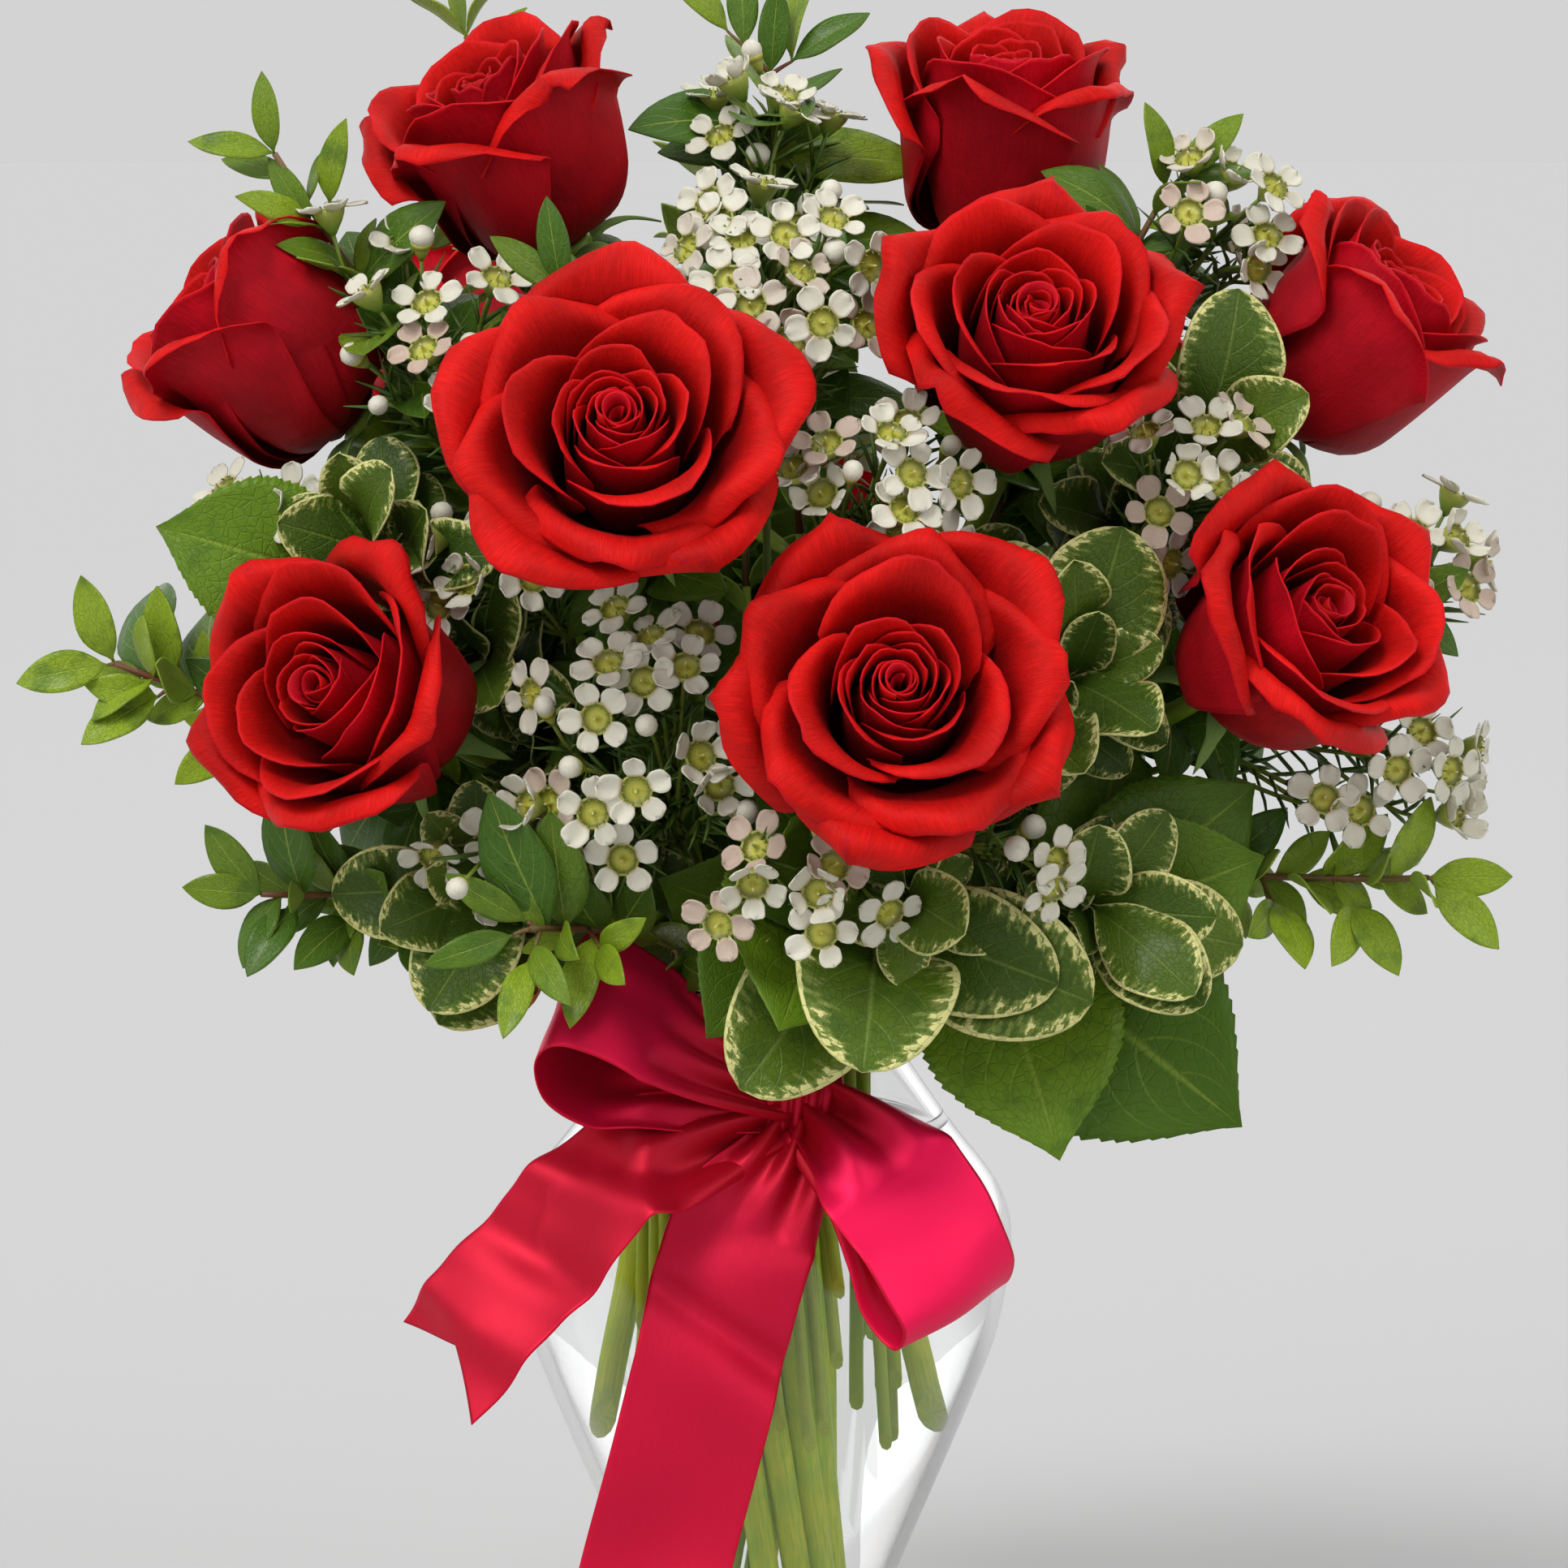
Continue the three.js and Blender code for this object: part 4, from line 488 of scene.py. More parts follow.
class Shape:
    """Nets of points that become one mesh. Each row of a net closes on itself. Each point has a place on its
    leaf, petal or stem (uv), a tint value that is random from piece to piece and, on petals, deep leaves and
    the ribbon, also carries painted shade and highlight, an edge value near the rim, and a back value on the
    under side."""

    def __init__(self):
        self.parts = []

    def blade(self, points, thickness, tint_and_shade=0.5, edge=0.0, material=0, flip=False):
        """A thin closed sheet over a net of points. u runs across it and v along it."""
        rows, columns = points.shape[:2]
        ahead = np.gradient(points, axis=0)
        sideways = np.gradient(points, axis=1)
        pinched = np.linalg.norm(points[:, 0] - points[:, -1], axis=1) < 1e-6
        for row in np.flatnonzero(pinched):
            sideways[row] = sideways[1 if row == 0 else row - 1]
        normal = np.cross(sideways, ahead)
        normal /= np.maximum(np.linalg.norm(normal, axis=2, keepdims=True), 1e-9)
        if flip:
            normal = -normal

        def round_both(front, rear, ends=None):
            """Values of the front, and back along the rear, closed by one more row at each end."""
            both = np.concatenate([front, rear[:, ::-1]], axis=1)
            first, last = (both[:1], both[-1:]) if ends is None else (ends[:1], ends[-1:])
            return np.concatenate([first, both, last])

        middle = np.concatenate([points, points[:, ::-1]], axis=1)
        loop = round_both(points + normal * thickness / 2, points - normal * thickness / 2, middle)
        uv = np.stack(np.meshgrid(np.linspace(0, 1, columns), np.linspace(0, 1, rows)), axis=2)
        uv = round_both(uv, uv)
        fields = (np.broadcast_to(x, (rows, columns)) for x in (tint_and_shade, edge))
        tint_and_shade, edge = (round_both(x, x) for x in fields)
        back = np.zeros(loop.shape[:2])
        back[:, columns:] = 1
        if flip:
            loop, uv, tint_and_shade, edge, back = (x[:, ::-1] for x in (loop, uv, tint_and_shade, edge, back))
        self.parts.append((loop, uv, tint_and_shade, edge, back, material))

    def tube(self, path, radii, sides, tint_and_shade=0.5, material=0, slant=0.0):
        """A round stem along a path, closed at both ends. slant: how steeply its first end is cut."""
        path = np.asarray(path, dtype=float)
        radii = np.broadcast_to(np.asarray(radii, dtype=float), (len(path),))
        along = units(np.gradient(path, axis=0))
        side = across(along[0])[0]
        angles = np.arange(sides) / sides * 2 * math.pi
        rings = []
        for centre, direction, radius in zip(path, along, radii):
            side = unit(side - direction * side.dot(direction))
            up = np.cross(direction, side)
            rings.append(centre + radius * (np.cos(angles)[:, None] * side + np.sin(angles)[:, None] * up))
        cut = along[0] * radii[0] * slant
        rings[0] = rings[0] + cut * (1 + np.cos(angles))[:, None]
        rim = [mix(path[0] + cut, rings[0], CUT_EDGE)] if slant else []
        first, last = (np.broadcast_to(end, (sides, 3)) for end in (path[0] + cut, path[-1]))
        rings = [first, *rim, *rings, last]
        length = np.concatenate([[0], np.cumsum(np.linalg.norm(np.diff(path, axis=0), axis=1))])
        v = np.concatenate([[0] * (1 + len(rim)), length, [length[-1]]]) / STEM_UV_LENGTH
        uv = np.stack(np.meshgrid(np.arange(sides) / sides, v), axis=2)
        self.parts.append((np.array(rings), uv, tint_and_shade, 0.0, 0.0, material))

    def lathe(self, profile, sides, base=ORIGIN, axis=UP, tint_and_shade=0.5, material=0):
        """A profile of (height, radius) pairs turned round an axis from its base."""
        side, up = across(axis)
        angles = np.arange(sides) / sides * 2 * math.pi
        round_ = np.cos(angles)[:, None] * side + np.sin(angles)[:, None] * up
        points = np.array([base + axis * height + round_ * radius for height, radius in profile])
        uv = np.stack(np.meshgrid(np.arange(sides) / sides, np.linspace(0, 1, len(profile))), axis=2)
        self.parts.append((points, uv, tint_and_shade, 0.0, 0.0, material))

    def mesh(self, name):
        """One mesh of all nets, with their uv map and the values of their points."""
        points, faces, uvs, slots = [], [], [], []
        fields = {"tint_and_shade": [], "edge": [], "back": []}
        size = 0
        for net, uv, tint_and_shade, edge, back, material_number in self.parts:
            rows, columns = net.shape[:2]
            left = np.arange(rows * columns).reshape(rows, columns) + size
            right = np.roll(left, -1, axis=1)
            faces.append(np.stack([left[:-1], right[:-1], right[1:], left[1:]], axis=-1).reshape(-1, 4))
            slots.append(np.full(len(faces[-1]), material_number))
            points.append(net.reshape(-1, 3))
            uvs.append(uv.reshape(-1, 2))
            for values, value in zip(fields.values(), (tint_and_shade, edge, back)):
                values.append(np.broadcast_to(value, (rows, columns)).reshape(-1))
            size += rows * columns
        points, faces = np.concatenate(points) * MM, np.concatenate(faces)
        mesh = bpy.data.meshes.new(name)
        mesh.vertices.add(len(points))
        mesh.vertices.foreach_set("co", points.ravel())
        mesh.loops.add(faces.size)
        mesh.loops.foreach_set("vertex_index", faces.ravel())
        mesh.polygons.add(len(faces))
        mesh.polygons.foreach_set("loop_start", np.arange(len(faces)) * 4)
        mesh.polygons.foreach_set("material_index", np.concatenate(slots))
        mesh.uv_layers.new(name="UVMap").uv.foreach_set("vector", np.concatenate(uvs)[faces.ravel()].ravel())
        for label, values in fields.items():
            mesh.attributes.new(label, "FLOAT", "POINT").data.foreach_set("value", np.concatenate(values))
        return mesh

    def object(self, name, materials, slot, replaces):
        """A piece of all nets, which rides on the part and replaces nodes of the solids."""
        mesh = self.mesh(name)
        for material in materials:
            mesh.materials.append(material)
        mesh.update(calc_edges=True)
        work = bmesh.new()
        work.from_mesh(mesh)
        bmesh.ops.remove_doubles(work, verts=work.verts, dist=1e-7)
        bmesh.ops.recalc_face_normals(work, faces=work.faces)
        work.to_mesh(mesh)
        work.free()
        mesh.shade_smooth()
        piece = add_object(name, mesh)
        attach(piece, "root")
        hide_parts(*replaces)
        return piece


# ---------------------------------------------------------------- materials


class Look:
    """A Principled material whose nodes are added by short calls."""

    def __init__(self, name, **constants):
        self.material = bpy.data.materials.new(name)
        self.material.use_nodes = True
        self.tree = self.material.node_tree
        self.shader = self.tree.nodes["Principled BSDF"]
        self.set(**constants)

    def set(self, **constants):
        """Sets sockets of the shader, named with underscores for spaces."""
        for name, value in constants.items():
            socket = self.shader.inputs[name.replace("_", " ")]
            is_colour = socket.type == "RGBA"
            socket.default_value = (*value, 1.0) if is_colour and len(value) == 3 else value

    def node(self, kind, inputs=(), **settings):
        node = self.tree.nodes.new("ShaderNode" + kind)
        for name, value in settings.items():
            setattr(node, name, value)
        for key, value in dict(inputs).items():
            if isinstance(value, bpy.types.NodeSocket):
                self.tree.links.new(value, node.inputs[key])
            else:
                node.inputs[key].default_value = value
        return node

    def link(self, output, name):
        self.tree.links.new(output, self.shader.inputs[name])

    def attribute(self, name):
        return self.node("Attribute", attribute_name=name).outputs["Fac"]

    def uv(self):
        split = self.node("SeparateXYZ", {0: self.node("UVMap", uv_map="UVMap").outputs[0]})
        return split.outputs["X"], split.outputs["Y"]

    def math(self, operation, a, b=0.0):
        return self.node("Math", {0: a, 1: b}, operation=operation).outputs[0]

    def plus(self, a, b):
        return self.math("ADD", a, b)

    def minus(self, a, b):
        return self.math("SUBTRACT", a, b)

    def times(self, a, b):
        return self.math("MULTIPLY", a, b)

    def noise(self, scale, detail=3.0, stretch=None):
        """Noise over the object, in cells per metre, or over the UV map where it is stretched."""
        if stretch:
            source = self.node("UVMap", uv_map="UVMap").outputs[0]
            place = self.node("Mapping", {"Vector": source, "Scale": (*stretch, 1.0)}).outputs[0]
        else:
            place = self.node("TexCoord").outputs["Object"]
        fields = {"Vector": place, "Scale": scale, "Detail": detail, "Roughness": 0.55}
        return self.node("TexNoise", fields).outputs["Fac"]

    def cells(self, scale):
        """Distance to the borders of small cells on the UV map, for a fine net."""
        source = self.node("UVMap", uv_map="UVMap").outputs[0]
        place = self.node("Mapping", {"Vector": source, "Scale": (0.6, 1.0, 1.0)}).outputs[0]
        fields = {"Vector": place, "Scale": scale}
        return self.node("TexVoronoi", fields, feature="DISTANCE_TO_EDGE").outputs["Distance"]

    def span(self, value, low, high, to_low=0.0, to_high=1.0):
        """A value's way from low to high, eased at both ends, as one from to_low to to_high."""
        fields = {"Value": value, "From Min": low, "From Max": high, "To Min": to_low, "To Max": to_high}
        return self.node("MapRange", fields, interpolation_type="SMOOTHSTEP").outputs["Result"]

    def blend(self, a, b, share, mode="MIX"):
        """Colour a turning into colour b."""
        node = self.node("Mix", {0: share}, data_type="RGBA", blend_type=mode)
        for socket, value in ((node.inputs[6], a), (node.inputs[7], b)):
            if isinstance(value, bpy.types.NodeSocket):
                self.tree.links.new(value, socket)
            else:
                socket.default_value = (*value, 1.0)
        return node.outputs[2]

    def bump(self, height, distance, strength):
        fields = {"Height": height, "Distance": distance, "Strength": strength}
        self.link(self.node("Bump", fields).outputs[0], "Normal")


def petal_look():
    look = Look("rose_petal", Roughness=0.55, Sheen_Weight=0.1, Sheen_Roughness=0.4,
                Sheen_Tint=(1.0, 0.06, 0.06), Subsurface_Weight=0.1, Subsurface_Radius=(1.0, 0.06, 0.04),
                Subsurface_Scale=0.003, Specular_IOR_Level=0.2, Specular_Tint=(1.0, 0.45, 0.45))
    _, along = look.uv()
    # Painted shade: each petal is painted dark at its root and lighter towards its tip. The inner layers and
    # the heart, whose tint value is higher, are darker still. This stands in for the shade deep in the bloom.
    depth = look.attribute("tint_and_shade")
    outer = look.blend((0.14, 0.0010, 0.003), (0.68, 0.007, 0.005), look.span(along, 0.25, 0.95))
    inner = look.blend((0.05, 0.0004, 0.002), (0.64, 0.007, 0.005), look.span(along, 0.6, 1.0))
    colour = look.blend(outer, inner, depth)
    under = look.blend((0.34, 0.003, 0.008), (0.56, 0.004, 0.016), look.span(along, 0.2, 0.95))
    colour = look.blend(colour, under, look.attribute("back"))
    patches = look.span(look.noise(45.0), 0.3, 0.7, 0.68, 1.12)
    veins = look.span(look.noise(4.0, 5.0, (44.0, 1.8)), 0.3, 0.7, 0.78, 1.08)
    shade = look.times(patches, veins)
    grey = look.node("CombineColor", {0: shade, 1: shade, 2: shade}).outputs[0]
    colour = look.blend(colour, grey, 1.0, "MULTIPLY")
    rim = look.span(look.attribute("edge"), 0.6, 1.0, 0.0, 0.35)
    look.link(look.blend(colour, (0.62, 0.006, 0.016), rim), "Base Color")
    look.bump(look.plus(veins, look.noise(700.0, 3.0)), 0.0004, 0.5)
    return look.material


def leaf_look(name, upper, deep, under, vein, roughness, side_veins, slant, margin=None, coat=0.0,
              cells=26.0):
    """A leaf with a mid vein, side veins that slant to the tip, a fine net of veins between them, and a
    pale ragged margin where it has one."""
    look = Look(name, Coat_Weight=coat, Coat_Roughness=0.22, Subsurface_Weight=0.06,
                Subsurface_Radius=(0.3, 1.0, 0.1), Subsurface_Scale=0.0015, Specular_IOR_Level=0.2)
    sideways, along = look.uv()
    off = look.math("ABSOLUTE", look.times(look.minus(sideways, 0.5), 2.0))
    # The tint value picks each leaf's green between deep and upper. Leaves deep in the bouquet get a low one,
    # as painted shade.
    colour = look.blend(deep, upper, look.span(look.attribute("tint_and_shade"), 0.0, 1.0))
    mottle = look.noise(110.0, 4.0)
    colour = look.blend(colour, deep, look.span(mottle, 0.48, 0.72, 0.0, 0.7))
    bent = look.times(look.math("POWER", off, 1.35), slant)
    rank = look.times(look.minus(along, bent), side_veins)
    wave = look.math("ABSOLUTE", look.minus(look.math("FRACT", rank), 0.5))
    side = look.span(wave, 0.0, 0.075, 1.0, 0.0)
    side = look.times(side, look.span(off, 0.55, 0.98, 1.0, 0.0))
    middle = look.span(off, 0.0, 0.06, 1.0, 0.0)
    veins = look.math("MAXIMUM", look.times(side, 0.45), middle)
    net = look.span(look.cells(cells), 0.0, 0.09, 1.0, 0.0)
    if margin:
        feathers = look.times(look.noise(7.0, 3.0, (0.8, 4.4)), 1.9)
        specks = look.times(look.noise(420.0, 2.0), 0.2)
        ragged = look.plus(off, look.plus(feathers, specks))
        ragged = look.plus(ragged, look.span(along, 0.62, 1.0, 0.0, 0.34))
        ragged = look.plus(ragged, look.span(off, 0.92, 0.98, 0.0, 0.7))
        pale = mix(np.array(upper), np.array(margin), 0.16)
        colour = look.blend(colour, pale, look.span(ragged, 1.72, 2.05))
        colour = look.blend(colour, margin, look.span(ragged, 2.05, 2.1))
    colour = look.blend(colour, vein, look.times(veins, 0.5))
    colour = look.blend(colour, deep, look.times(net, 0.3))
    look.link(look.blend(colour, under, look.times(look.attribute("back"), 0.85)), "Base Color")
    rough = look.span(mottle, 0.3, 0.7, roughness - 0.06, roughness + 0.08)
    look.link(look.plus(rough, look.times(look.attribute("back"), 0.2)), "Roughness")
    relief = look.plus(look.times(veins, 1.6), look.times(net, 0.5))
    look.bump(look.minus(look.noise(500.0, 2.0), relief), 0.0004, 0.6)
    return look.material


def stem_look(name, colour, other, roughness=0.5, in_water=1.0):
    """Bark or green skin with long streaks. in_water: how much lighter it is painted in the water, as painted
    light standing in for light that comes through the glass.
    """
    look = Look(name, Subsurface_Weight=0.05, Subsurface_Radius=(0.4, 1.0, 0.2), Subsurface_Scale=0.002)
    streaks = look.noise(3.0, 4.0, (9.0, 1.2))
    patches = look.noise(70.0, 3.0)
    mixed = look.plus(look.times(streaks, 0.6), look.times(patches, 0.4))
    skin = look.blend(colour, other, look.span(mixed, 0.38, 0.62))
    if in_water > 1:
        # Painted light: below the water the skin is painted lighter, fading back to its own colour above it.
        lighter = [np.minimum(np.array(paint) * in_water, LIGHTEST) for paint in (colour, other)]
        wet = look.blend(*lighter, look.span(mixed, 0.38, 0.62))
        height = look.node("SeparateXYZ", {0: look.node("TexCoord").outputs["Object"]}).outputs["Z"]
        skin = look.blend(wet, skin, look.span(height, WATER_HEIGHT * MM, PAINTED_LIGHT_TOP * MM))
    look.link(skin, "Base Color")
    look.link(look.span(patches, 0.3, 0.7, roughness - 0.1, roughness + 0.1), "Roughness")
    look.bump(look.plus(streaks, look.noise(600.0, 2.0)), 0.0003, 0.5)
    return look.material


def floret_look():
    look = Look("waxflower_petal", Roughness=0.45, Subsurface_Weight=0.2, Subsurface_Radius=(1.0, 0.9, 0.8),
                Subsurface_Scale=0.001, Specular_IOR_Level=0.4)
    _, along = look.uv()
    tint_and_shade = look.attribute("tint_and_shade")
    petal = look.blend((0.65, 0.63, 0.52), (0.52, 0.39, 0.31), look.span(tint_and_shade, 0.78, 1.0))
    colour = look.blend((0.60, 0.50, 0.30), petal, look.span(along, 0.0, 0.22))
    veins = look.noise(3.0, 3.0, (12.0, 1.5))
    look.link(look.blend(colour, (0.70, 0.65, 0.56), look.span(veins, 0.55, 0.8, 0.0, 0.5)), "Base Color")
    look.bump(look.plus(veins, look.noise(1200.0, 2.0)), 0.0002, 0.5)
    return look.material


def cup_look():
    """The cup's colour runs from its foot (v 0) over its rim (0.45) to the disc and the style (v 1)."""
    look = Look("waxflower_cup", Roughness=0.35, Subsurface_Weight=0.1, Subsurface_Scale=0.001)
    _, along = look.uv()
    outside = look.blend((0.16, 0.26, 0.03), (0.36, 0.40, 0.07), look.span(along, 0.1, 0.4))
    inside = look.blend((0.17, 0.17, 0.02), (0.50, 0.49, 0.06), look.span(along, 0.55, 0.70))
    colour = look.blend(outside, inside, look.span(along, 0.46, 0.56))
    ribs = look.noise(4.0, 3.0, (10.0, 1.5))
    colour = look.blend(colour, (0.30, 0.14, 0.04), look.span(ribs, 0.55, 0.85, 0.0, 0.5))
    look.link(look.blend(colour, (0.62, 0.60, 0.30), look.span(along, 0.82, 0.95)), "Base Color")
    look.bump(look.plus(ribs, look.noise(1500.0, 2.0)), 0.0002, 0.6)
    return look.material


def ribbon_look():
    look = Look("ribbon_satin", Metallic=0.45, Sheen_Weight=0.08, Sheen_Roughness=0.3,
                Sheen_Tint=(1.0, 0.1, 0.25), Specular_IOR_Level=0.5, Specular_Tint=(1.0, 0.4, 0.5),
                Anisotropic=0.6, Anisotropic_Rotation=0.25)
    sideways, _ = look.uv()
    warp = look.noise(5.0, 3.0, (150.0, 3.0))
    weft = look.noise(5.0, 3.0, (6.0, 260.0))
    weave = look.plus(look.times(warp, 0.5), look.times(weft, 0.5))
    off = look.math("ABSOLUTE", look.minus(sideways, 0.5))
    edge = look.span(off, 0.475, 0.492)
    # Painted highlight and shade: each strip's tint value picks its satin from dark red to bright pink. The
    # value is lowest where the strip is gathered at the knot.
    glow = look.blend((0.40, 0.005, 0.008), (0.92, 0.007, 0.088), look.attribute("tint_and_shade"))
    cloth = look.blend(glow, (0.95, 0.012, 0.10), look.span(weave, 0.35, 0.65, 0.0, 0.25))
    look.link(look.blend(cloth, (0.64, 0.004, 0.035), edge), "Base Color")
    look.link(look.span(weave, 0.3, 0.7, 0.32, 0.42), "Roughness")
    ridge = look.times(edge, 1.5)
    look.bump(look.plus(weave, ridge), 0.00012, 0.5)
    return look.material


def glass_look():
    look = Look("vase_glass", Base_Color=(0.995, 1.0, 0.998), Transmission_Weight=1.0, IOR=1.38)
    look.link(look.span(look.noise(25.0, 2.0), 0.3, 0.7, 0.0, 0.02), "Roughness")
    look.bump(look.noise(14.0, 1.0), 0.0004, 0.12)
    return look.material


def water_look():
    look = Look("vase_water", Base_Color=(1.0, 1.0, 1.0), Transmission_Weight=1.0, IOR=1.2, Roughness=0.0)
    look.bump(look.noise(40.0, 1.0), 0.0003, 0.08)
    return look.material


def floor_look():
    look = Look("pale_floor", Roughness=0.9, Specular_IOR_Level=0.0)
    place = look.node("TexCoord").outputs["Object"]
    distance = look.node("VectorMath", {0: place}, operation="LENGTH").outputs["Value"]
    paint = look.blend((0.512, 0.512, 0.512), (0.516, 0.516, 0.516), look.noise(3.0, 2.0))
    look.link(look.blend(paint, (0.501, 0.501, 0.501), look.span(distance, 1.5, 5.0)), "Base Color")
    return look.material


PETAL = petal_look()
ROSE_GREEN = stem_look("rose_stem_green", (0.15, 0.24, 0.010), (0.26, 0.34, 0.014), in_water=3.0)
SEPAL = leaf_look("rose_sepal", (0.18, 0.31, 0.035), (0.08, 0.18, 0.02), (0.24, 0.38, 0.10),
                  (0.2, 0.34, 0.07), 0.55, 5.0, 0.3)
SALAL = leaf_look("salal_leaf", (0.15, 0.26, 0.010), (0.06, 0.13, 0.006), (0.20, 0.27, 0.06),
                  (0.26, 0.37, 0.04), 0.46, 8.0, 0.42, coat=0.05)
PITTOSPORUM = leaf_look("pittosporum_leaf", (0.11, 0.18, 0.010), (0.04, 0.085, 0.006), (0.24, 0.31, 0.11),
                        (0.19, 0.28, 0.05), 0.42, 9.0, 0.3, margin=(0.68, 0.65, 0.26), coat=0.08)
HUCKLEBERRY = leaf_look("huckleberry_leaf", (0.27, 0.38, 0.018), (0.055, 0.13, 0.01), (0.30, 0.42, 0.06),
                        (0.46, 0.56, 0.10), 0.36, 7.0, 0.35, coat=0.15, cells=18.0)
NEEDLE = stem_look("waxflower_needle", (0.04, 0.095, 0.010), (0.11, 0.19, 0.022), 0.45)
RED_TWIG = stem_look("huckleberry_twig", (0.20, 0.035, 0.022), (0.14, 0.12, 0.03))
BROWN_TWIG = stem_look("woody_twig", (0.12, 0.07, 0.035), (0.19, 0.13, 0.07), 0.65)
OLIVE_STEM = stem_look("olive_stem", (0.13, 0.20, 0.008), (0.18, 0.20, 0.010), 0.55, in_water=3.0)
GREEN_TWIG = stem_look("waxflower_twig", (0.12, 0.20, 0.015), (0.22, 0.26, 0.03), in_water=2.8)
FLORET = floret_look()
CUP = cup_look()

# ---------------------------------------------------------------- roses


def lean_at(lean, share):
    """The slope of a petal, in degrees, at shares of its length."""
    marks = np.array([0, PETAL_WAIST, PETAL_SHOULDER, 1])
    k = np.clip(np.searchsorted(marks, share, side="right") - 1, 0, 2)
    local = (share - marks[k]) / (marks[k + 1] - marks[k])
    lean = np.asarray(lean, dtype=float)
    return mix(lean[k], lean[k + 1], local * local * (3 - 2 * local))


def petals_of(rose_index, is_open, spin, layer):
    """The petals of one layer, each with its own draws. The solids' layers draw what the solids draw."""
    count = layer["count"][is_open > FEW_PETALS_TO]
    for k in range(count):
        draw = seeded(1000 * rose_index + 50 * layer["random"] + k + 1)

        def vary(amount):
            return (draw() - 0.5) * 2 * amount

        length = mix(*layer["length"], is_open) * (1 + vary(0.03))
        lean = [mix(closed, wide, is_open) for closed, wide in zip(*layer["lean"])]
        lean[2] += vary(2)
        lean[3] += vary(6)
        half = mix(*layer["half"], is_open) * (1 + vary(0.06))
        azimuth = spin + layer["turn"] + 360 / count * k + vary(3)
        roll = 1 + vary(0.4)
        waves = [draw() for _ in range(3)]
        lean[3] += mix(*layer["close"], is_open) * (k % 2) * (0.5 + waves[0])
        point = mix(*layer["point"], is_open) * (1 - 0.8 * (k % 2)) * (0.6 + 0.4 * waves[1])
        yield {"root": layer["root"], "spiral": layer["spiral"], "length": length * (1 + 0.05 * point),
               "lean": lean, "half": half, "azimuth": azimuth, "roll": roll,
               "curl": mix(*layer["curl"], is_open), "point": point, "waves": waves, "tint_and_shade": draw()}


def petal_line(petal, share):
    """Radius and height of a petal's middle line at shares of its length."""
    steps = 60
    middle = (np.arange(steps) + 0.5) / steps
    slopes = np.radians(lean_at(petal["lean"], middle))
    step = petal["length"] / steps
    radius = petal["root"] + np.concatenate([[0], np.cumsum(step * np.cos(slopes))])
    height = 1 + np.concatenate([[0], np.cumsum(step * np.sin(slopes))])
    marks = np.linspace(0, 1, steps + 1)
    return np.interp(share, marks, radius), np.interp(share, marks, height)


def petal_points(petal):
    """The net of a petal in its bloom's frame, and how near each point is to the rim."""
    t, s = grid(PETAL_ROWS, PETAL_COLUMNS)
    along, s = 1 - (1 - t) ** 1.3, 1.2 * s - 0.2 * s ** 3
    wave_a, wave_b, wave_c = petal["waves"]
    point, curl = petal["point"], petal["curl"]
    crinkle = 0.012 * np.sin(9 * s + ANY_TURN * wave_a) + 0.006 * np.sin(15 * s + ANY_TURN * wave_b)
    rim = 1 - (RIM_DROP + 0.1 * point) * np.abs(s) ** (2.4 - 1.0 * point) + crinkle * (1 - s ** 2)
    share = along * rim
    half = petal["half"] * np.minimum(share / PETAL_BROAD, 1) ** 0.8
    x, y = s * half, share * petal["length"]
    # The corners roll back over a small round edge, and leave the tip of a pointed petal standing.
    roll_angle = math.radians(mix(*CORNER_WAYS, point))
    cos, sin = math.cos(roll_angle), math.sin(roll_angle)
    reach = 0.7 * petal["half"] * cos + 0.89 * petal["length"] * sin
    rolled = ROLL_REACH * curl * petal["roll"]
    beyond = np.maximum(np.abs(x) * cos + y * sin - (reach - rolled), 0)
    turn = np.minimum(beyond / ROLL_RADIUS, 2.2)
    shorter = beyond - ROLL_RADIUS * np.sin(turn) * (beyond > 0)
    lifted = ROLL_RADIUS * (1 - np.cos(turn))
    x, y = x - np.sign(s) * cos * shorter, y - sin * shorter
    share = np.clip(y / petal["length"], 0, 1)
    lifted = lifted + 1.1 * curl * np.clip((along - 0.9) / 0.1, 0, 1) ** 2
    lifted += 0.9 * curl * share ** 2 * np.sin(5 * s + ANY_TURN * wave_b) * (1 - 0.5 * s ** 2)
    lifted += 0.5 * curl * share ** 3 * np.sin(11 * s + ANY_TURN * wave_c + 5 * share)
    lifted -= 0.35 * curl * np.exp(-(s / 0.22) ** 2) * share
    radius, height = petal_line(petal, share)
    slope = np.radians(lean_at(petal["lean"], share))
    least = WRAP_RADIUS if petal["root"] >= OUTER_ROOT else petal["root"] + 2
    angle = math.radians(petal["azimuth"]) + x / np.maximum(radius, least)
    outward = radius + petal["spiral"] * s * np.minimum(3 * share, 1) + lifted * np.sin(slope)
    height = height - lifted * np.cos(slope)
    net = np.stack([outward * np.cos(angle), outward * np.sin(angle), height], axis=2)
    edge = np.maximum(along ** 16, np.abs(s) ** 14 * np.minimum(2 * share, 1))
    return net, edge


def bloom_frame(centre, axis):
    """The base, axis and turning matrix of a bloom whose own frame looks along +Z."""
    axis = unit(np.array(axis, dtype=float))
    side, up = across(axis)
    return np.array(centre) - axis * BLOOM_HEIGHT, axis, np.array([side, up, axis])


def heart_points(spin):
    """The rolled petal in the middle of a bloom."""
    turns = np.linspace(0, HEART_TURNS * 2 * math.pi, 66)
    t, turns = np.meshgrid(np.linspace(0, 1, 9), turns, indexing="ij")
    radius = (0.9 + 0.30 * turns) * (1 - 0.16 * t ** 2) + 0.7 * np.clip((t - 0.85) / 0.15, 0, 1) ** 2
    top = 44.5 + 2.5 * np.sin(turns * 0.7 + spin) + 0.22 * turns
    height = mix(12.0, top, t)
    angle = math.radians(spin) + turns
    return np.stack([radius * np.cos(angle), radius * np.sin(angle), height], axis=2), t ** 16


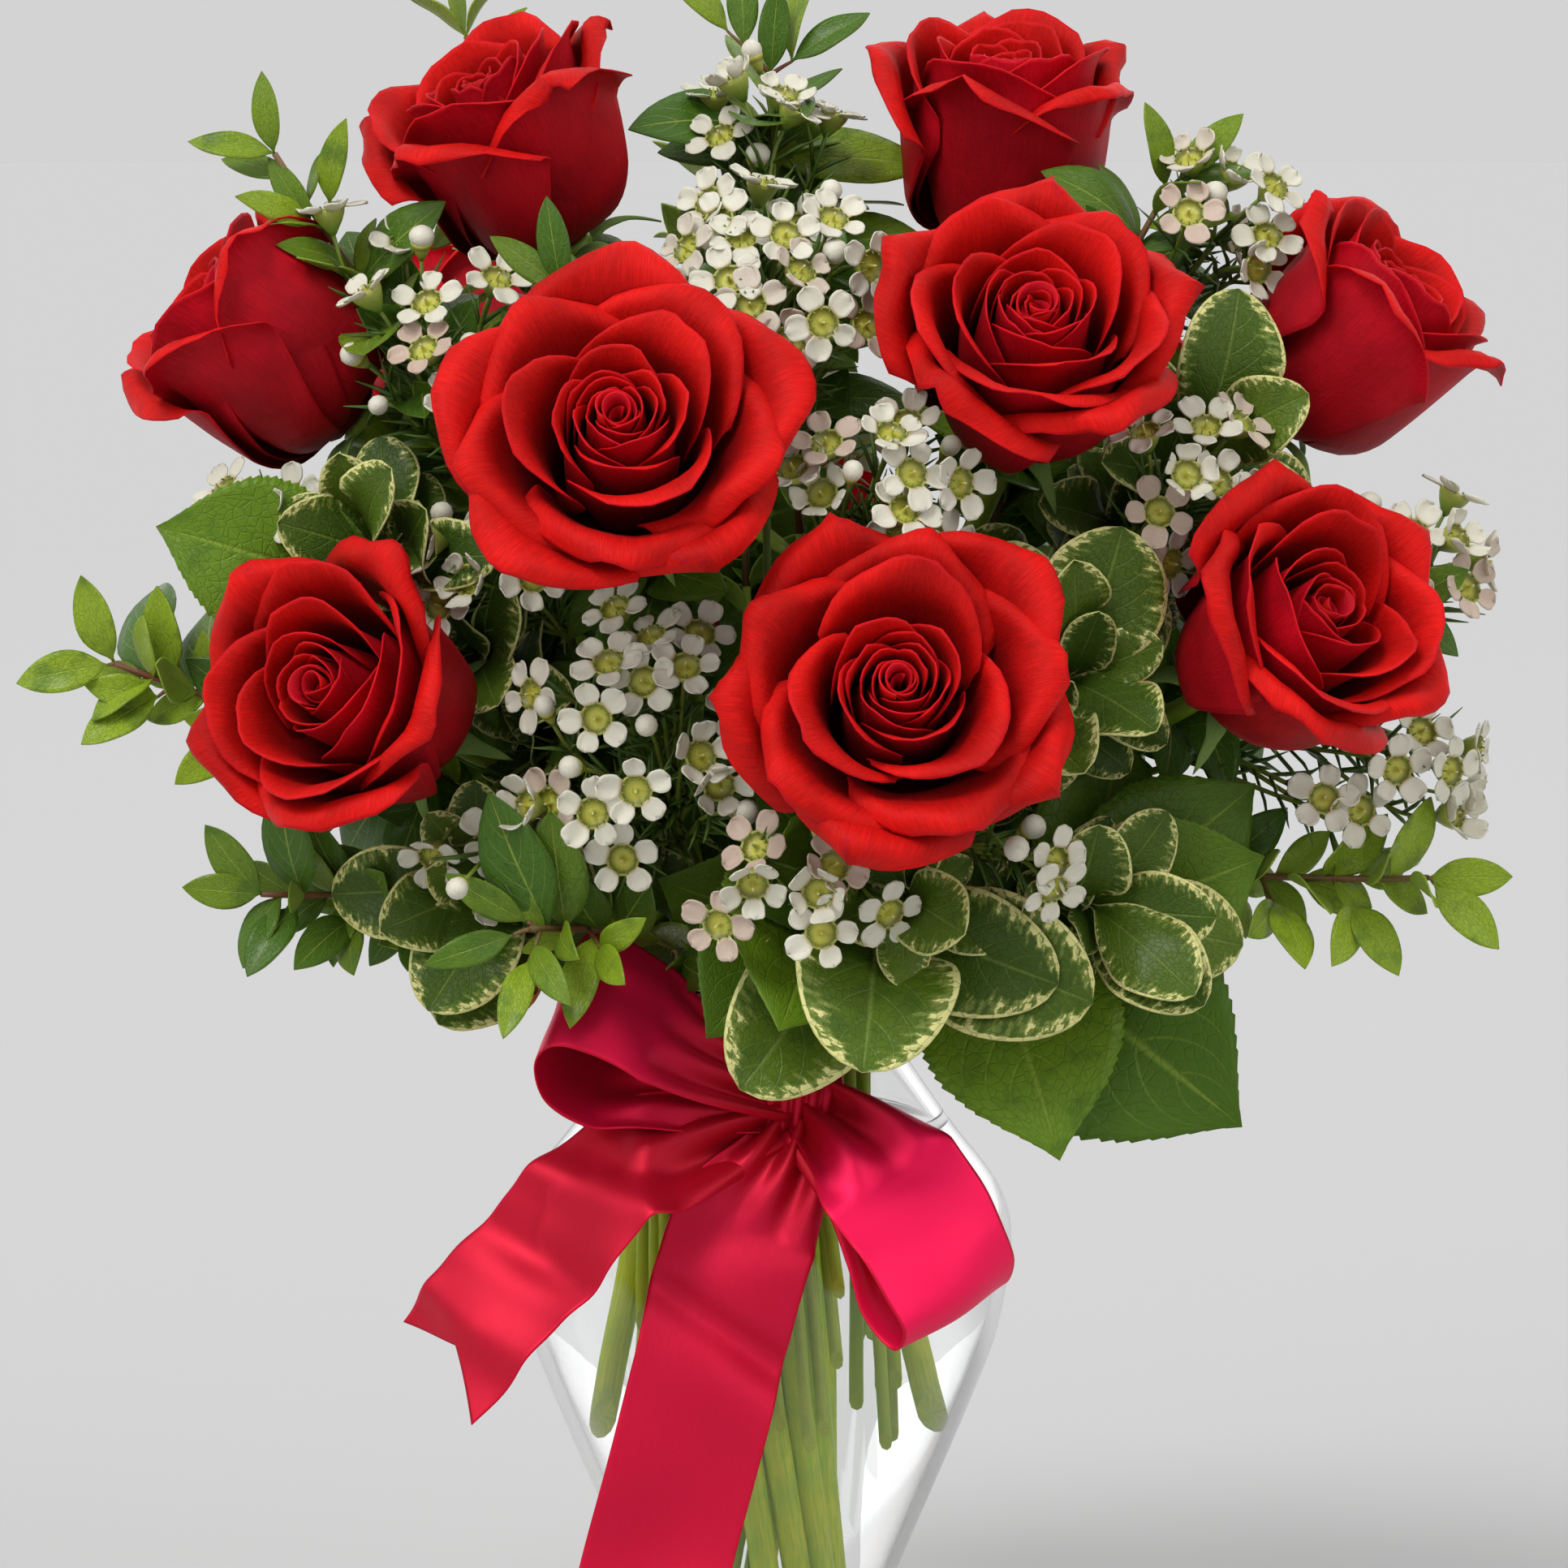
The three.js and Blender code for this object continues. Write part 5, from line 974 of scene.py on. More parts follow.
def make_bloom(index, name, centre, axis, is_open, spin):
    base, way, turning = bloom_frame(centre, axis)
    shape = Shape()
    for depth, layer in enumerate(PETAL_LAYERS):
        for petal in petals_of(index, is_open, spin, layer):
            net, edge = petal_points(petal)
            # The tint value rises from the outer layers inwards, with a little at random, and the heart takes
            # 0.9. The petal material paints the inner petals darker, as painted shade deep in the bloom.
            tint_and_shade = depth / len(PETAL_LAYERS) + 0.12 * petal["tint_and_shade"]
            shape.blade(net @ turning + base, PETAL_THICKNESS, tint_and_shade, edge, flip=True)
    net, edge = heart_points(spin)
    shape.blade(net @ turning + base, HEART_THICKNESS, 0.9, edge)
    shape.lathe(SEAT_PROFILE, 24, base, way, tint_and_shade=0.6)
    shape.object(f"{name}_petals", [PETAL], "petal", [f"{name}_bloom"])


def bezier(points, steps):
    """Points of a cubic curve at even steps of its parameter."""
    a, b, c, d = points
    t = np.linspace(0, 1, steps + 1)[:, None]
    return (1 - t) ** 3 * a + 3 * (1 - t) ** 2 * t * b + 3 * (1 - t) * t ** 2 * c + t ** 3 * d


def stem_curve(cut, neck, end, arrival, lift):
    """The four points of the curve that a stem follows from the neck to its end."""
    reach = np.linalg.norm(end - neck)
    return neck, neck + unit(neck - cut) * lift * reach, end - arrival * ARRIVAL_REACH * reach, end


def add_sepal(shape, top, axis, angle, draw):
    """A narrow sepal that leaves a hip's top and bends down."""
    out = around(axis, angle)
    t, s = grid(12, 5)
    bend = 0.6 + 0.8 * draw()
    reach = mix(4.5, 24.5, t)
    drop = -2.2 + 2.6 * bend * np.sin(math.pi * t) - 6.8 * t ** 2.2
    half = 4.3 * (1 - t) ** 0.75 * (1 + 0.10 * np.sin(17 * t)) * (0.65 + 0.35 * np.minimum(t / 0.2, 1))
    fold = 0.22 * half * np.abs(s)
    net = (top + out * reach[..., None] + axis * (drop - fold)[..., None]
           + np.cross(axis, out) * (s * half)[..., None])
    shape.blade(net, SEPAL_THICKNESS, draw(), material=SEPAL_PART)


def make_rose_stem(index, name, centre, axis, spin, leans):
    base, axis, _ = bloom_frame(centre, axis)
    azimuth = ROSE_SLOT_START + 360 / len(ROSES) * index
    cut = polar(ROSE_CUT_RING, azimuth + ROSE_STEM_TWIST, ROSE_CUT_HEIGHT)
    if leans:
        cut = polar(WIDE_CUT["ring"], azimuth + WIDE_CUT["twist"], WIDE_CUT["height"])
    neck = polar(ROSE_RING, azimuth, NECK_HEIGHT)
    top = base + axis * HIP_TOP
    curve = bezier(stem_curve(cut, neck, top - axis * STEM_TOP, axis, ROSE_LIFT), 26)
    path = np.concatenate([np.linspace(cut, neck, 9)[:-1], curve])
    shape = Shape()
    draw = seeded(500 + index)
    low_radius = ROSE_STEM_RADIUS * LOW_SWELL
    thick = np.interp(path[:, 2], [NECK_HEIGHT, NECK_HEIGHT + 60], [low_radius, ROSE_STEM_RADIUS])
    radii = thick * (1 + 0.05 * np.array([draw() - 0.5 for _ in path]))
    shape.tube(path, radii, 12, slant=CUT_SLANT)
    shape.lathe(HIP_PROFILE, 20, top, axis)
    for k in range(SEPALS):
        add_sepal(shape, top, axis, math.radians(spin + 360 / SEPALS * k), draw)
    shape.object(f"{name}_green", [ROSE_GREEN, SEPAL], "rose_green", [f"{name}_stem"])


# ---------------------------------------------------------------- sprays


class Corners:
    """The corners of a node's solid, to find which of its tries was placed."""

    def __init__(self, node):
        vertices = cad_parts[node].data.vertices
        self.tree = kdtree.KDTree(len(vertices))
        for k, vertex in enumerate(vertices):
            self.tree.insert(vertex.co, k)
        self.tree.balance()

    def distance(self, point):
        return self.tree.find(Vector(point * MM))[2] / MM

    def on_ring(self, centre, radius):
        """Number of corners at a distance from a centre."""
        found = self.tree.find_range(Vector(centre * MM), (radius + RING_ROOM) * MM)
        return sum(distance > (radius - RING_ROOM) * MM for _, _, distance in found)


def bloom_tree():
    """The surfaces of all blooms, for keeping leaves out of them."""
    corners, faces = [], []
    for name, *_ in ROSES:
        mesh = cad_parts[f"{name}_bloom"].data
        faces += [[k + len(corners) for k in polygon.vertices] for polygon in mesh.polygons]
        corners += [vertex.co.copy() for vertex in mesh.vertices]
    return bvhtree.BVHTree.FromPolygons(corners, faces)


BLOOMS = bloom_tree()


def is_free(points, clearance):
    """Whether points keep clear of the blooms."""
    for point in points:
        corner = Vector(point * MM)
        place, normal, _, distance = BLOOMS.find_nearest(corner)
        if distance < clearance * MM or (corner - place).dot(normal) < 0:
            return False
    return True


def in_box(node, point, room):
    """Whether a point is in the box of a node's solid, or no farther out of it than the room."""
    low, high = (np.array(corner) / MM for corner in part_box(node))
    return bool(np.all(point > low - room) and np.all(point < high + room))


def point_on(path, share):
    """A point of a stem at a share of its length above the neck; the path's first point is its cut end."""
    place = 1 + share * (len(path) - 2)
    k = min(int(place), len(path) - 2)
    return mix(path[k], path[k + 1], place - k)


def root_for(path, tip, length, angle):
    """The share of a stem's length where a leaf or twig starts, so that it leaves at a likely angle."""
    best = None
    for step in range(int(round((1 - ROOTS_FROM) / ROOTS_STEP)) + 1):
        share = min(ROOTS_FROM + ROOTS_STEP * step, 1)
        root = point_on(path, share)
        ahead = point_on(path, min(share, 0.98) + 0.02) - point_on(path, min(share, 0.98))
        leaving = tip - root
        bend = math.degrees(math.acos(np.clip(unit(leaving).dot(unit(ahead)), -1, 1)))
        score = abs(bend - angle) / ROOT_ANGLE_WEIGHT + abs(np.linalg.norm(leaving) - length) / length
        if best is None or score < best[0] - 1e-9:
            best = (score, share, root)
    return best[1], best[2]


def swung(root, tip, ahead, sideways):
    """A tip swung to another place at the same distance from its root."""
    leaving = tip - root
    facing = facing_at(tip)
    side = unit(np.cross(leaving, facing))
    length = np.linalg.norm(leaving)
    return root + unit(leaving + facing * ahead * length + side * sideways * length) * length


def spray_route(node, end, cut_height):
    """The stem that the solid took: its cut end, the four points of its curve, its path, and its corners."""
    corners = Corners(node)
    end = np.array(end, dtype=float)
    azimuth = math.degrees(math.atan2(end[1], end[0]))
    best = (-1, None)
    for turn, ring, lift in STEM_ROUTES:
        neck = polar(ring, azimuth + turn, NECK_HEIGHT)
        cut = polar(ring + RING_SPREAD, azimuth + turn + GREEN_STEM_TWIST, cut_height)
        arrival = unit(np.array([end[0], end[1], end[2] - NECK_HEIGHT - lift * ARRIVAL_DROP]))
        curve = stem_curve(cut, neck, end, arrival, lift)
        path = bezier(curve, 3)
        found = corners.on_ring(cut, GREEN_STEM_RADIUS) + corners.on_ring(neck, GREEN_STEM_RADIUS)
        found += sum(corners.on_ring(point, GREEN_STEM_RADIUS * 0.85) for point in path[2:])
        if found > best[0]:
            best = (found, (cut, curve, np.concatenate([[cut], path]), corners))
    return best[1]


def add_leaf(shape, kind, root, tip, breadth, draw, lightness, rows, columns=9, facing=None):
    """A leaf from its root to its tip. The value after draw says how much lighter it is, up to 1. Below 0 it
    says how much darker the leaf is painted, as painted shade for leaves deep in the bouquet.
    """
    form = LEAF_KINDS[kind]
    along = tip - root
    length = np.linalg.norm(along)
    along = along / length
    side = unit(np.cross(along, facing_at(tip) if facing is None else facing))
    normal = np.cross(side, along)
    t, s = grid(rows, columns)
    t = mix(t, (1 - np.cos(math.pi * t)) / 2, 0.6)
    shares, halves = smooth(form["outline"], 80).T
    teeth, depth = form["teeth"]
    half = np.interp(t, shares, halves) * form["broad"] * breadth * length * 0.5
    half *= 1 - depth * np.abs(s) ** 8 * ((t * teeth) % 1.0)
    phase, droop, lean = draw() * ANY_TURN, draw(), draw() - 0.5
    rise = 4 * form["arch"] * (0.6 + 0.8 * draw()) * length * t * (1 - t)
    rise += form["fold"] * np.abs(s) * half
    rise += form["wave"] * length * np.sin(7 * t + phase) * np.abs(s) ** 2 * np.sin(math.pi * t)
    rise += 0.10 * lean * s * half - 0.05 * droop * length * t ** 3 * (1 - t) * 4
    points = (root + along * (t * length)[..., None] + normal * rise[..., None]
              + side * (s * half)[..., None])
    shape.blade(points, LEAF_THICKNESS, mix(0.75 * draw(), 1, lightness))


def leaf_is_free(root, tip, kind, breadth=1.0, clearance=1.5):
    """Whether a leaf's middle line and edges keep clear of the blooms."""
    along = tip - root
    side = unit(np.cross(along, facing_at(tip))) * LEAF_KINDS[kind]["broad"] * breadth * np.linalg.norm(along)
    middle = root + along * 0.5
    edges = [middle + side * 0.45, middle - side * 0.45]
    return is_free([root + along * 0.25, middle, *edges, tip], clearance)


def add_twiglet(shape, root, tip, draw, node, lightness, slim):
    """A side twig of huckleberry with a leaf at its tip and others along it, the narrow ones closer."""
    breadth, longer, gap = (SLIM, SLIM_LENGTH, SLIM_GAP) if slim else (USUAL_BREADTH, 1, USUAL_GAP)
    rows = LEAF_KINDS["huckleberry"]["rows"]
    along = tip - root
    length = np.linalg.norm(along)
    way = along / length
    last = min(TIP_LEAF_LENGTH, length)
    foot = tip - way * last
    if length > TIP_LEAF_LENGTH + 1:
        bend = np.cross(way, facing_at(tip)) * 1.2 * (draw() - 0.5)
        steps = np.linspace(0, 1, 6)[:, None]
        path = root + (foot - root) * steps + bend * np.sin(math.pi * steps)
        shape.tube(path, np.linspace(0.75, 0.45, 6), 6, material=TWIG_PART)
    add_leaf(shape, "huckleberry", foot, tip, breadth, draw, lightness, rows)
    side = unit(np.cross(way, facing_at(tip)))
    place, turn = length - last, 1 if draw() < 0.5 else -1
    while place > 4:
        start = root + way * place
        out = unit(way * 0.75 + side * turn * 0.8 + facing_at(tip) * 0.5 * (draw() - 0.2))
        end = start + out * (17 + 7 * draw()) * longer
        if in_box(node, end, TWIGLET_ROOM) and leaf_is_free(start, end, "huckleberry"):
            add_leaf(shape, "huckleberry", start, end, breadth, draw, lightness, rows)
        place -= gap + 3.0 * draw()
        turn = -turn


def inner_leaves(stems):
    """Roots and tips of leaves that fill the dark gaps between stems, for each spray that they grow on."""
    draw = seeded(77)
    placed, leaves = [], {node: [] for node in stems}
    for _ in range(INNER_TRIES):
        way = np.array([draw() + draw() + draw() - 1.5 for _ in range(3)])
        tip = BODY_CENTRE + unit(way) * BODY_SIZE * mix(*BODY_SHARES, draw())
        if tip[2] < LOWEST_LEAF or any(np.linalg.norm(tip - other) < LEAF_SPACING for other in placed):
            continue
        best = None
        for node, (kind, line) in stems.items():
            gaps = np.linalg.norm(line - tip, axis=1)
            good = (gaps > INNER_LENGTHS[0]) & (gaps < INNER_LENGTHS[1])
            ahead = ((tip - line) * (tip - BODY_CENTRE)).sum(axis=1) > 0
            for k in np.flatnonzero(good & ahead):
                off = abs(gaps[k] - INNER_LENGTH)
                if best is None or off < best[0]:
                    best = (off, node, kind, line[k])
        if best is None:
            continue
        _, node, kind, root = best
        if leaf_is_free(root, tip, kind, USUAL_BREADTH, INNER_CLEARANCE):
            placed.append(tip)
            leaves[node].append((root, tip))
    return leaves


def add_fillers(shape, kind, curve, draw, node, lightness, slim):
    """More leaves along a stem, turned round it step by step, where there is room for them."""
    count, shortest, longest, breadth = FILLERS[kind]
    if slim:
        longest, breadth = longest * SLIM_LENGTH, breadth * SLIM
    count = SPARSE.get(node, count)
    first, reach = FILLER_REACH
    line = bezier(curve, 60)
    for k in range(count):
        t = first + reach * (k + draw()) / count
        place = min(int(t * 60), 59)
        start, ahead = line[place], unit(line[place + 1] - line[place])
        angle = math.radians(GOLDEN_ANGLE * k + 30 * draw())
        side, up = across(ahead)
        out = unit(ahead * (0.5 + 0.5 * draw()) + side * math.cos(angle) + up * math.sin(angle))
        length = mix(shortest, longest, draw())
        for share in FILLER_SIZES:
            end = start + out * length * share
            if in_box(node, end, FILLER_ROOM) and leaf_is_free(start, end, kind, breadth):
                facing = unit(facing_at(end) + 0.7 * ahead)
                rows = LEAF_KINDS[kind]["filler_rows"]
                add_leaf(shape, kind, start, end, breadth, draw, lightness, rows, facing=facing)
                break


# Leaf, twig and main stem of each kind.
LEAF_MATERIALS = {
    "salal": (SALAL, BROWN_TWIG, OLIVE_STEM),
    "pittosporum": (PITTOSPORUM, OLIVE_STEM, OLIVE_STEM),
    "huckleberry": (HUCKLEBERRY, RED_TWIG, OLIVE_STEM),
}


def add_stem(shape, cut, curve, low_material, high_material):
    """The stem of a spray, from its cut end in the water to its tip."""
    line = bezier(curve, 18)
    radii = np.linspace(GREEN_STEM_RADIUS, 0.8, len(line))
    low = np.concatenate([np.linspace(cut, line[0], 6)[:-1], line[:10]])
    low_radii = np.concatenate([np.full(5, GREEN_STEM_RADIUS), radii[:10]])
    shape.tube(low, low_radii, 8, material=low_material, slant=CUT_SLANT)
    shape.tube(line[9:], radii[9:], 8, material=high_material)


def make_leafy_spray(index, node, tips, route, inner):
    kind = node.split("_")[0]
    cut, curve, path, corners = route
    draw = seeded(9000 + index)
    form, lightness = LEAF_KINDS[kind], FRESH.get(node, 0.0)
    slim = node in SLIM_SPRAYS
    shape = Shape()
    add_stem(shape, cut, curve, STEM_PART, TWIG_PART)
    for place in tips:
        tip = np.array(place[:3], dtype=float)
        breadth = place[3] if len(place) > 3 else 1.0
        share, root = root_for(path, tip, form["length"], form["angle"])
        tries = [swung(root, tip, ahead, sideways) for ahead, sideways in SWINGS]
        placed = next((end for end in tries if corners.distance(end) < LEAF_ROOM), None)
        if placed is None:
            continue
        start = bezier(curve, 100)[int(round(share * 100))]
        if kind == "huckleberry":
            add_twiglet(shape, start, placed, draw, node, lightness, slim)
        else:
            add_leaf(shape, kind, start, placed, breadth, draw, lightness * draw(), form["rows"], 11)
    add_fillers(shape, kind, curve, draw, node, lightness, slim)
    more = [(curve[3], np.array(tip, dtype=float)) for tip in MORE_LEAVES.get(node, [])]
    for root, tip in inner + more:
        # Leaves deep in the bouquet, painted darker as shade.
        add_leaf(shape, kind, root, tip, USUAL_BREADTH, draw, INNER_PAINTED_SHADE, form["inner_rows"], 7)
    shape.object(f"{node}_spray", LEAF_MATERIALS[kind], kind, [node])


def head_places(centre, wide, tall, count, seed):
    """Place, look and kind of each floret or bud of a waxflower head, with the solids' own draws."""
    middle = np.array(centre, dtype=float)
    facing = facing_at(middle)
    side, up = across(facing)
    draw = seeded(seed)
    for k in range(count):
        spread = math.sqrt((k + 0.5) / count)
        angle = math.radians(GOLDEN_ANGLE * k + 40 * draw())
        right, high = spread * math.cos(angle), spread * math.sin(angle)
        dome = HEAD_DOME * (0.5 - spread * spread) + HEAD_JITTER * (draw() - 0.5)
        at = middle + side * right * wide + up * high * tall + facing * dome
        look = facing + side * (0.7 * right + 0.5 * (draw() - 0.5))
        look = unit(look + up * (0.6 * high + 0.5 * (draw() - 0.5)))
        yield at, look, draw() < BUD_SHARE


def add_floret_petal(shape, at, look, out, tint_and_shade, closed, draw):
    """One round petal of a floret, cupped, and wavy at its edge."""
    t, s = grid(9, 9)
    size = mix(0.86, 1.1, draw())
    round_ = np.sqrt(np.maximum(1 - np.abs(2 * t - 1) ** mix(2.2, 3.2, draw()), 0))
    half = FLORET_PETAL * size * np.maximum(round_, 0.6 - 0.56 * np.minimum(2 * t, 1))
    half *= 1 + 0.06 * np.sin(5 * t + 6 * draw()) * s
    reach = FLORET_ROOT + (FLORET_RADIUS - FLORET_ROOT) * size * t * (1 - 0.06 * np.exp(-(s / 0.3) ** 2) * t)
    lean, cup = mix(-0.6, 2.0, draw()) + 4 * closed, mix(0.4, 1.6, draw())
    rise = 0.4 + lean * t + cup * (s ** 2 * round_ * 0.9 - 1.4 * t * (1 - t))
    rise += 0.35 * np.sin(4 * s + 6 * draw()) * t
    reach = reach - 3.2 * closed * t ** 2
    wide = np.cross(look, out)
    net = at + out * reach[..., None] + wide * (s * half)[..., None] + look * rise[..., None]
    shape.blade(net, FLORET_THICKNESS, tint_and_shade, material=PETAL_PART)


def add_floret(shape, at, look, draw):
    """Round petals on the rim of a cup, with its stamens and style."""
    petal_turn, stamen_turn = 360 / FLORET_PETALS, 360 / STAMENS
    spin, tint_and_shade, closed = petal_turn * draw(), draw(), draw() ** 3
    for k in range(FLORET_PETALS):
        out = around(look, math.radians(petal_turn * k + spin + 8 * (draw() - 0.5)))
        add_floret_petal(shape, at, look, out, tint_and_shade, closed, draw)
    shape.lathe(CUP_PROFILE, 14, at, look, material=CUP_PART)
    for k in range(STAMENS):
        out = around(look, math.radians(stamen_turn * k + stamen_turn / 2 + spin))
        foot, tip = at + out * 3.7 + look * 0.4, at + out * 3.0 + look * 1.3
        path = [foot, mix(foot, tip, 0.5) + out * 0.2, tip]
        shape.tube(path, [0.2, 0.18, 0.3], 4, 0.9, CUP_PART)


def add_bud(shape, at, look, draw):
    tint_and_shade, size = 0.6 * draw(), np.array([1.0, mix(0.7, 0.92, draw())])
    shape.lathe(np.array(BUD_CUP) * size, 12, at, look, material=CUP_PART)
    shape.lathe(np.array(BUD_DOME) * size, 12, at, look, tint_and_shade=tint_and_shade, material=PETAL_PART)


def add_twig(shape, root, at, look, draw):
    """The twig of a floret with a few needles."""
    length = np.linalg.norm(at - root)
    foot = at - look * TWIG_FOOT
    way = unit(foot - root)
    line = bezier((root, root + way * length * 0.35, foot - look * length * 0.3, foot), 9)
    shape.tube(line, np.linspace(0.75, 0.55, 10), 6, material=TWIG_PART)
    for _ in range(2 + int(length / NEEDLE_SPACING)):
        place = 1 + int(7 * draw())
        ahead = unit(line[place + 1] - line[place])
        side, up = across(ahead)
        angle = ANY_TURN * draw()
        out = unit(ahead * 0.9 + side * math.cos(angle) + up * math.sin(angle))
        reach = 9 + 9 * draw()
        tip = line[place] + out * reach
        if is_free([tip], NEEDLE_CLEARANCE):
            middle = mix(line[place], tip, 0.5) + ahead * 0.06 * reach
            shape.tube([line[place], middle, tip], [0.55, 0.6, 0.12], 4, draw())


def make_waxflower(index, node, heads, route):
    cut, curve, path, corners = route
    draw = seeded(9000 + index)
    shape = Shape()
    add_stem(shape, cut, curve, TWIG_PART, TWIG_PART)
    line = bezier(curve, 100)
    for number, head in enumerate(heads):
        for k, (at, look, is_bud) in enumerate(head_places(*head, 100 * index + 7 + number)):
            share, root = root_for(path, at, TWIG_LENGTH, TWIG_ANGLE)
            facing = unit(look + 0.7 * unit(at - root))
            is_shown = k % SHOWN_FLOWERS == 0
            if not is_shown:
                facing = unit(facing + np.array([0.9, 0.5, 0.9]) * [draw() - 0.5 for _ in range(3)])
            lift = BUD_RADIUS if is_bud else -1

            def fits(place):
                if is_shown:
                    return corners.distance(place + facing * lift) < FLOWER_ROOM
                return is_free([place, place + facing * 2, mix(place, root, 0.4)], FLOWER_CLEARANCE)

            placed = next(filter(fits, (at + facing * shift for shift in HEAD_SHIFTS)), None)
            if placed is None:
                continue
            add_twig(shape, line[int(round(share * 100))], placed, facing, draw)
            (add_bud if is_bud else add_floret)(shape, placed, facing, draw)
    shape.object(f"{node}_spray", [NEEDLE, GREEN_TWIG, FLORET, CUP], "waxflower", [node])


# ---------------------------------------------------------------- vase and water


def bead(outer, inner, steps):
    """A half round edge from an outer point to an inner one, as (height, radius)."""
    outer, inner = np.array(outer, dtype=float), np.array(inner, dtype=float)
    middle, arm = (outer + inner) / 2, (outer - inner) / 2
    over = np.array([-arm[1], arm[0]])
    if over[0] < 0:
        over = -over
    angles = np.linspace(0, math.pi, steps + 2)[1:-1]
    return [middle + arm * math.cos(angle) + over * math.sin(angle) for angle in angles]


def make_vase():
    """The glass. Its inside is returned from the floor up, for the water."""
    outside = smooth(VASE_OUTSIDE, 90)
    inside = outside[outside[:, 0] > FLOOR_HEIGHT + 6].copy()
    slope = units(np.gradient(inside, axis=0))
    inside[:, 0] += GLASS * slope[:, 1]
    inside[:, 1] -= GLASS * slope[:, 0]
    inside = inside[inside[:, 0] > FLOOR_HEIGHT + 5]
    lowest = inside[0, 1]
    well = [(FLOOR_HEIGHT + 1.6, lowest - 1.6), (FLOOR_HEIGHT + 0.3, lowest - 5), (FLOOR_HEIGHT, lowest - 10),
            (FLOOR_HEIGHT, 0)]
    rim = bead(outside[-1], inside[-1], 7)
    shape = Shape()
    shape.lathe([*VASE_FOOT, *outside, *rim, *inside[::-1], *well], VASE_SIDES)
    shape.object("vase_glass", [glass_look()], "glass", ["vase"])
    return inside


def make_water(inside):
    """The water, a gap away from the glass, with a surface that climbs a little at its edge."""
    wet = inside[inside[:, 0] < WATER_HEIGHT - 1]
    top, lowest = wet[-1, 1] - GAP, inside[0, 1]
    side = [(height, radius - GAP) for height, radius in wet]
    surface = [(WATER_HEIGHT + 0.7, top - 0.1), (WATER_HEIGHT + 0.2, top - 1.0), (WATER_HEIGHT, top - 2.6),
               (WATER_HEIGHT, 0)]
    low = FLOOR_HEIGHT + GAP
    bottom = [(low, 0), (low, lowest - 10), (low + 0.5, lowest - 5.2), (low + 1.8, lowest - 2.2)]
    shape = Shape()
    shape.lathe([*bottom, *side, *surface], VASE_SIDES)
    shape.object("vase_water", [water_look()], "water", ["water"])


# ---------------------------------------------------------------- ribbon


def sheet_of(shape, name, material, held, rests_on):
    """A strip of the ribbon as a piece of its own, which replaces the solids' bow."""
    piece = shape.object(name, [material], "ribbon", ["ribbon_bow"])
    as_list(rests_on)
    return piece


def make_strip(name, strip, material, rests_on, held, pleats, ripple, notch, tint_and_shade, waves):
    """A strip along its line. It lies in pleats where it is gathered to less than its width."""
    rows, columns = STRIP_ROWS, STRIP_COLUMNS
    places = smooth([place for place, _, _ in strip], rows)
    halves = np.minimum(smooth([[half] for _, half, _ in strip], rows), FULL)
    ways = smooth([way for _, _, way in strip], rows)
    ahead = units(np.gradient(places, axis=0))
    ways = units(ways - ahead * (ways * ahead).sum(axis=1, keepdims=True))
    normals = np.cross(ways, ahead)
    length = np.linalg.norm(np.diff(places, axis=0), axis=1).sum()
    t, s = grid(rows, columns)
    t = t * (1 - notch / length * (1 - np.abs(s)) * t ** 3)
    row = t * (rows - 1)
    low = np.minimum(row.astype(int), rows - 2)
    part = (row - low)[..., None]

    def at(values):
        return mix(values[low], values[low + 1], part)

    half = at(halves)[..., 0]
    fold = 2 * half / pleats / math.pi * np.sqrt(np.maximum(FULL / half - 1, 0))
    lift = fold * np.sin(math.pi * pleats * (s + 1) + 1.1 * np.sin(3 * t))
    free = np.clip((half - GATHERED) / (FULL - GATHERED), 0, 1)
    lift += ripple * free * np.sin(2.2 * s + 9 * t) + 0.5 * ripple * np.sin(7 * t - 3 * s) * s
    for share, height, reach, slant in waves:
        lift += height * np.exp(-((t - share - slant * s) / reach) ** 2)
    points = at(places) + at(ways) * (s * half)[..., None] + at(normals) * lift[..., None]
    shape = Shape()
    # Painted shade: where the strip is gathered, its satin is painted at its darkest.
    shape.blade(points, RIBBON_THICKNESS, tint_and_shade * free)
    sheet_of(shape, name, material, held, rests_on)


def make_band(material):
    """The ribbon round the neck, folded in three along its length."""
    low, high = BAND_HEIGHTS
    middle = mix(low, high, 0.5)
    section = [(0.4, low), (0.4, middle), (0.5, high - 0.4), (0.9, high), (1.4, high - 0.5), (1.3, middle),
               (1.4, low + 0.5), (1.9, low), (2.3, low + 0.6), (2.6, mix(low, high, 0.3)), (2.1, middle),
               (2.6, mix(low, high, 0.75)), (2.1, high - 0.2)]
    section = smooth(np.array(section) + [BAND_RADIUS, 0], 40)
    angles = np.linspace(0, 2 * math.pi, 121)
    angle, radius = np.meshgrid(angles, section[:, 0], indexing="ij")
    height = np.broadcast_to(section[:, 1], radius.shape)
    outer = np.clip(radius - BAND_RADIUS - 1.6, 0, 1)
    radius = radius + 0.25 * outer * np.sin(5 * angle + 0.5 * height) + 0.15 * outer * np.sin(11 * angle)
    height = height + 0.5 * outer * np.sin(3 * angle)
    points = np.stack([radius * np.cos(angle), radius * np.sin(angle), height], axis=2)
    shape = Shape()
    shape.blade(points, BAND_THICKNESS)
    return sheet_of(shape, "ribbon_band", material, "folded", ["vase"])


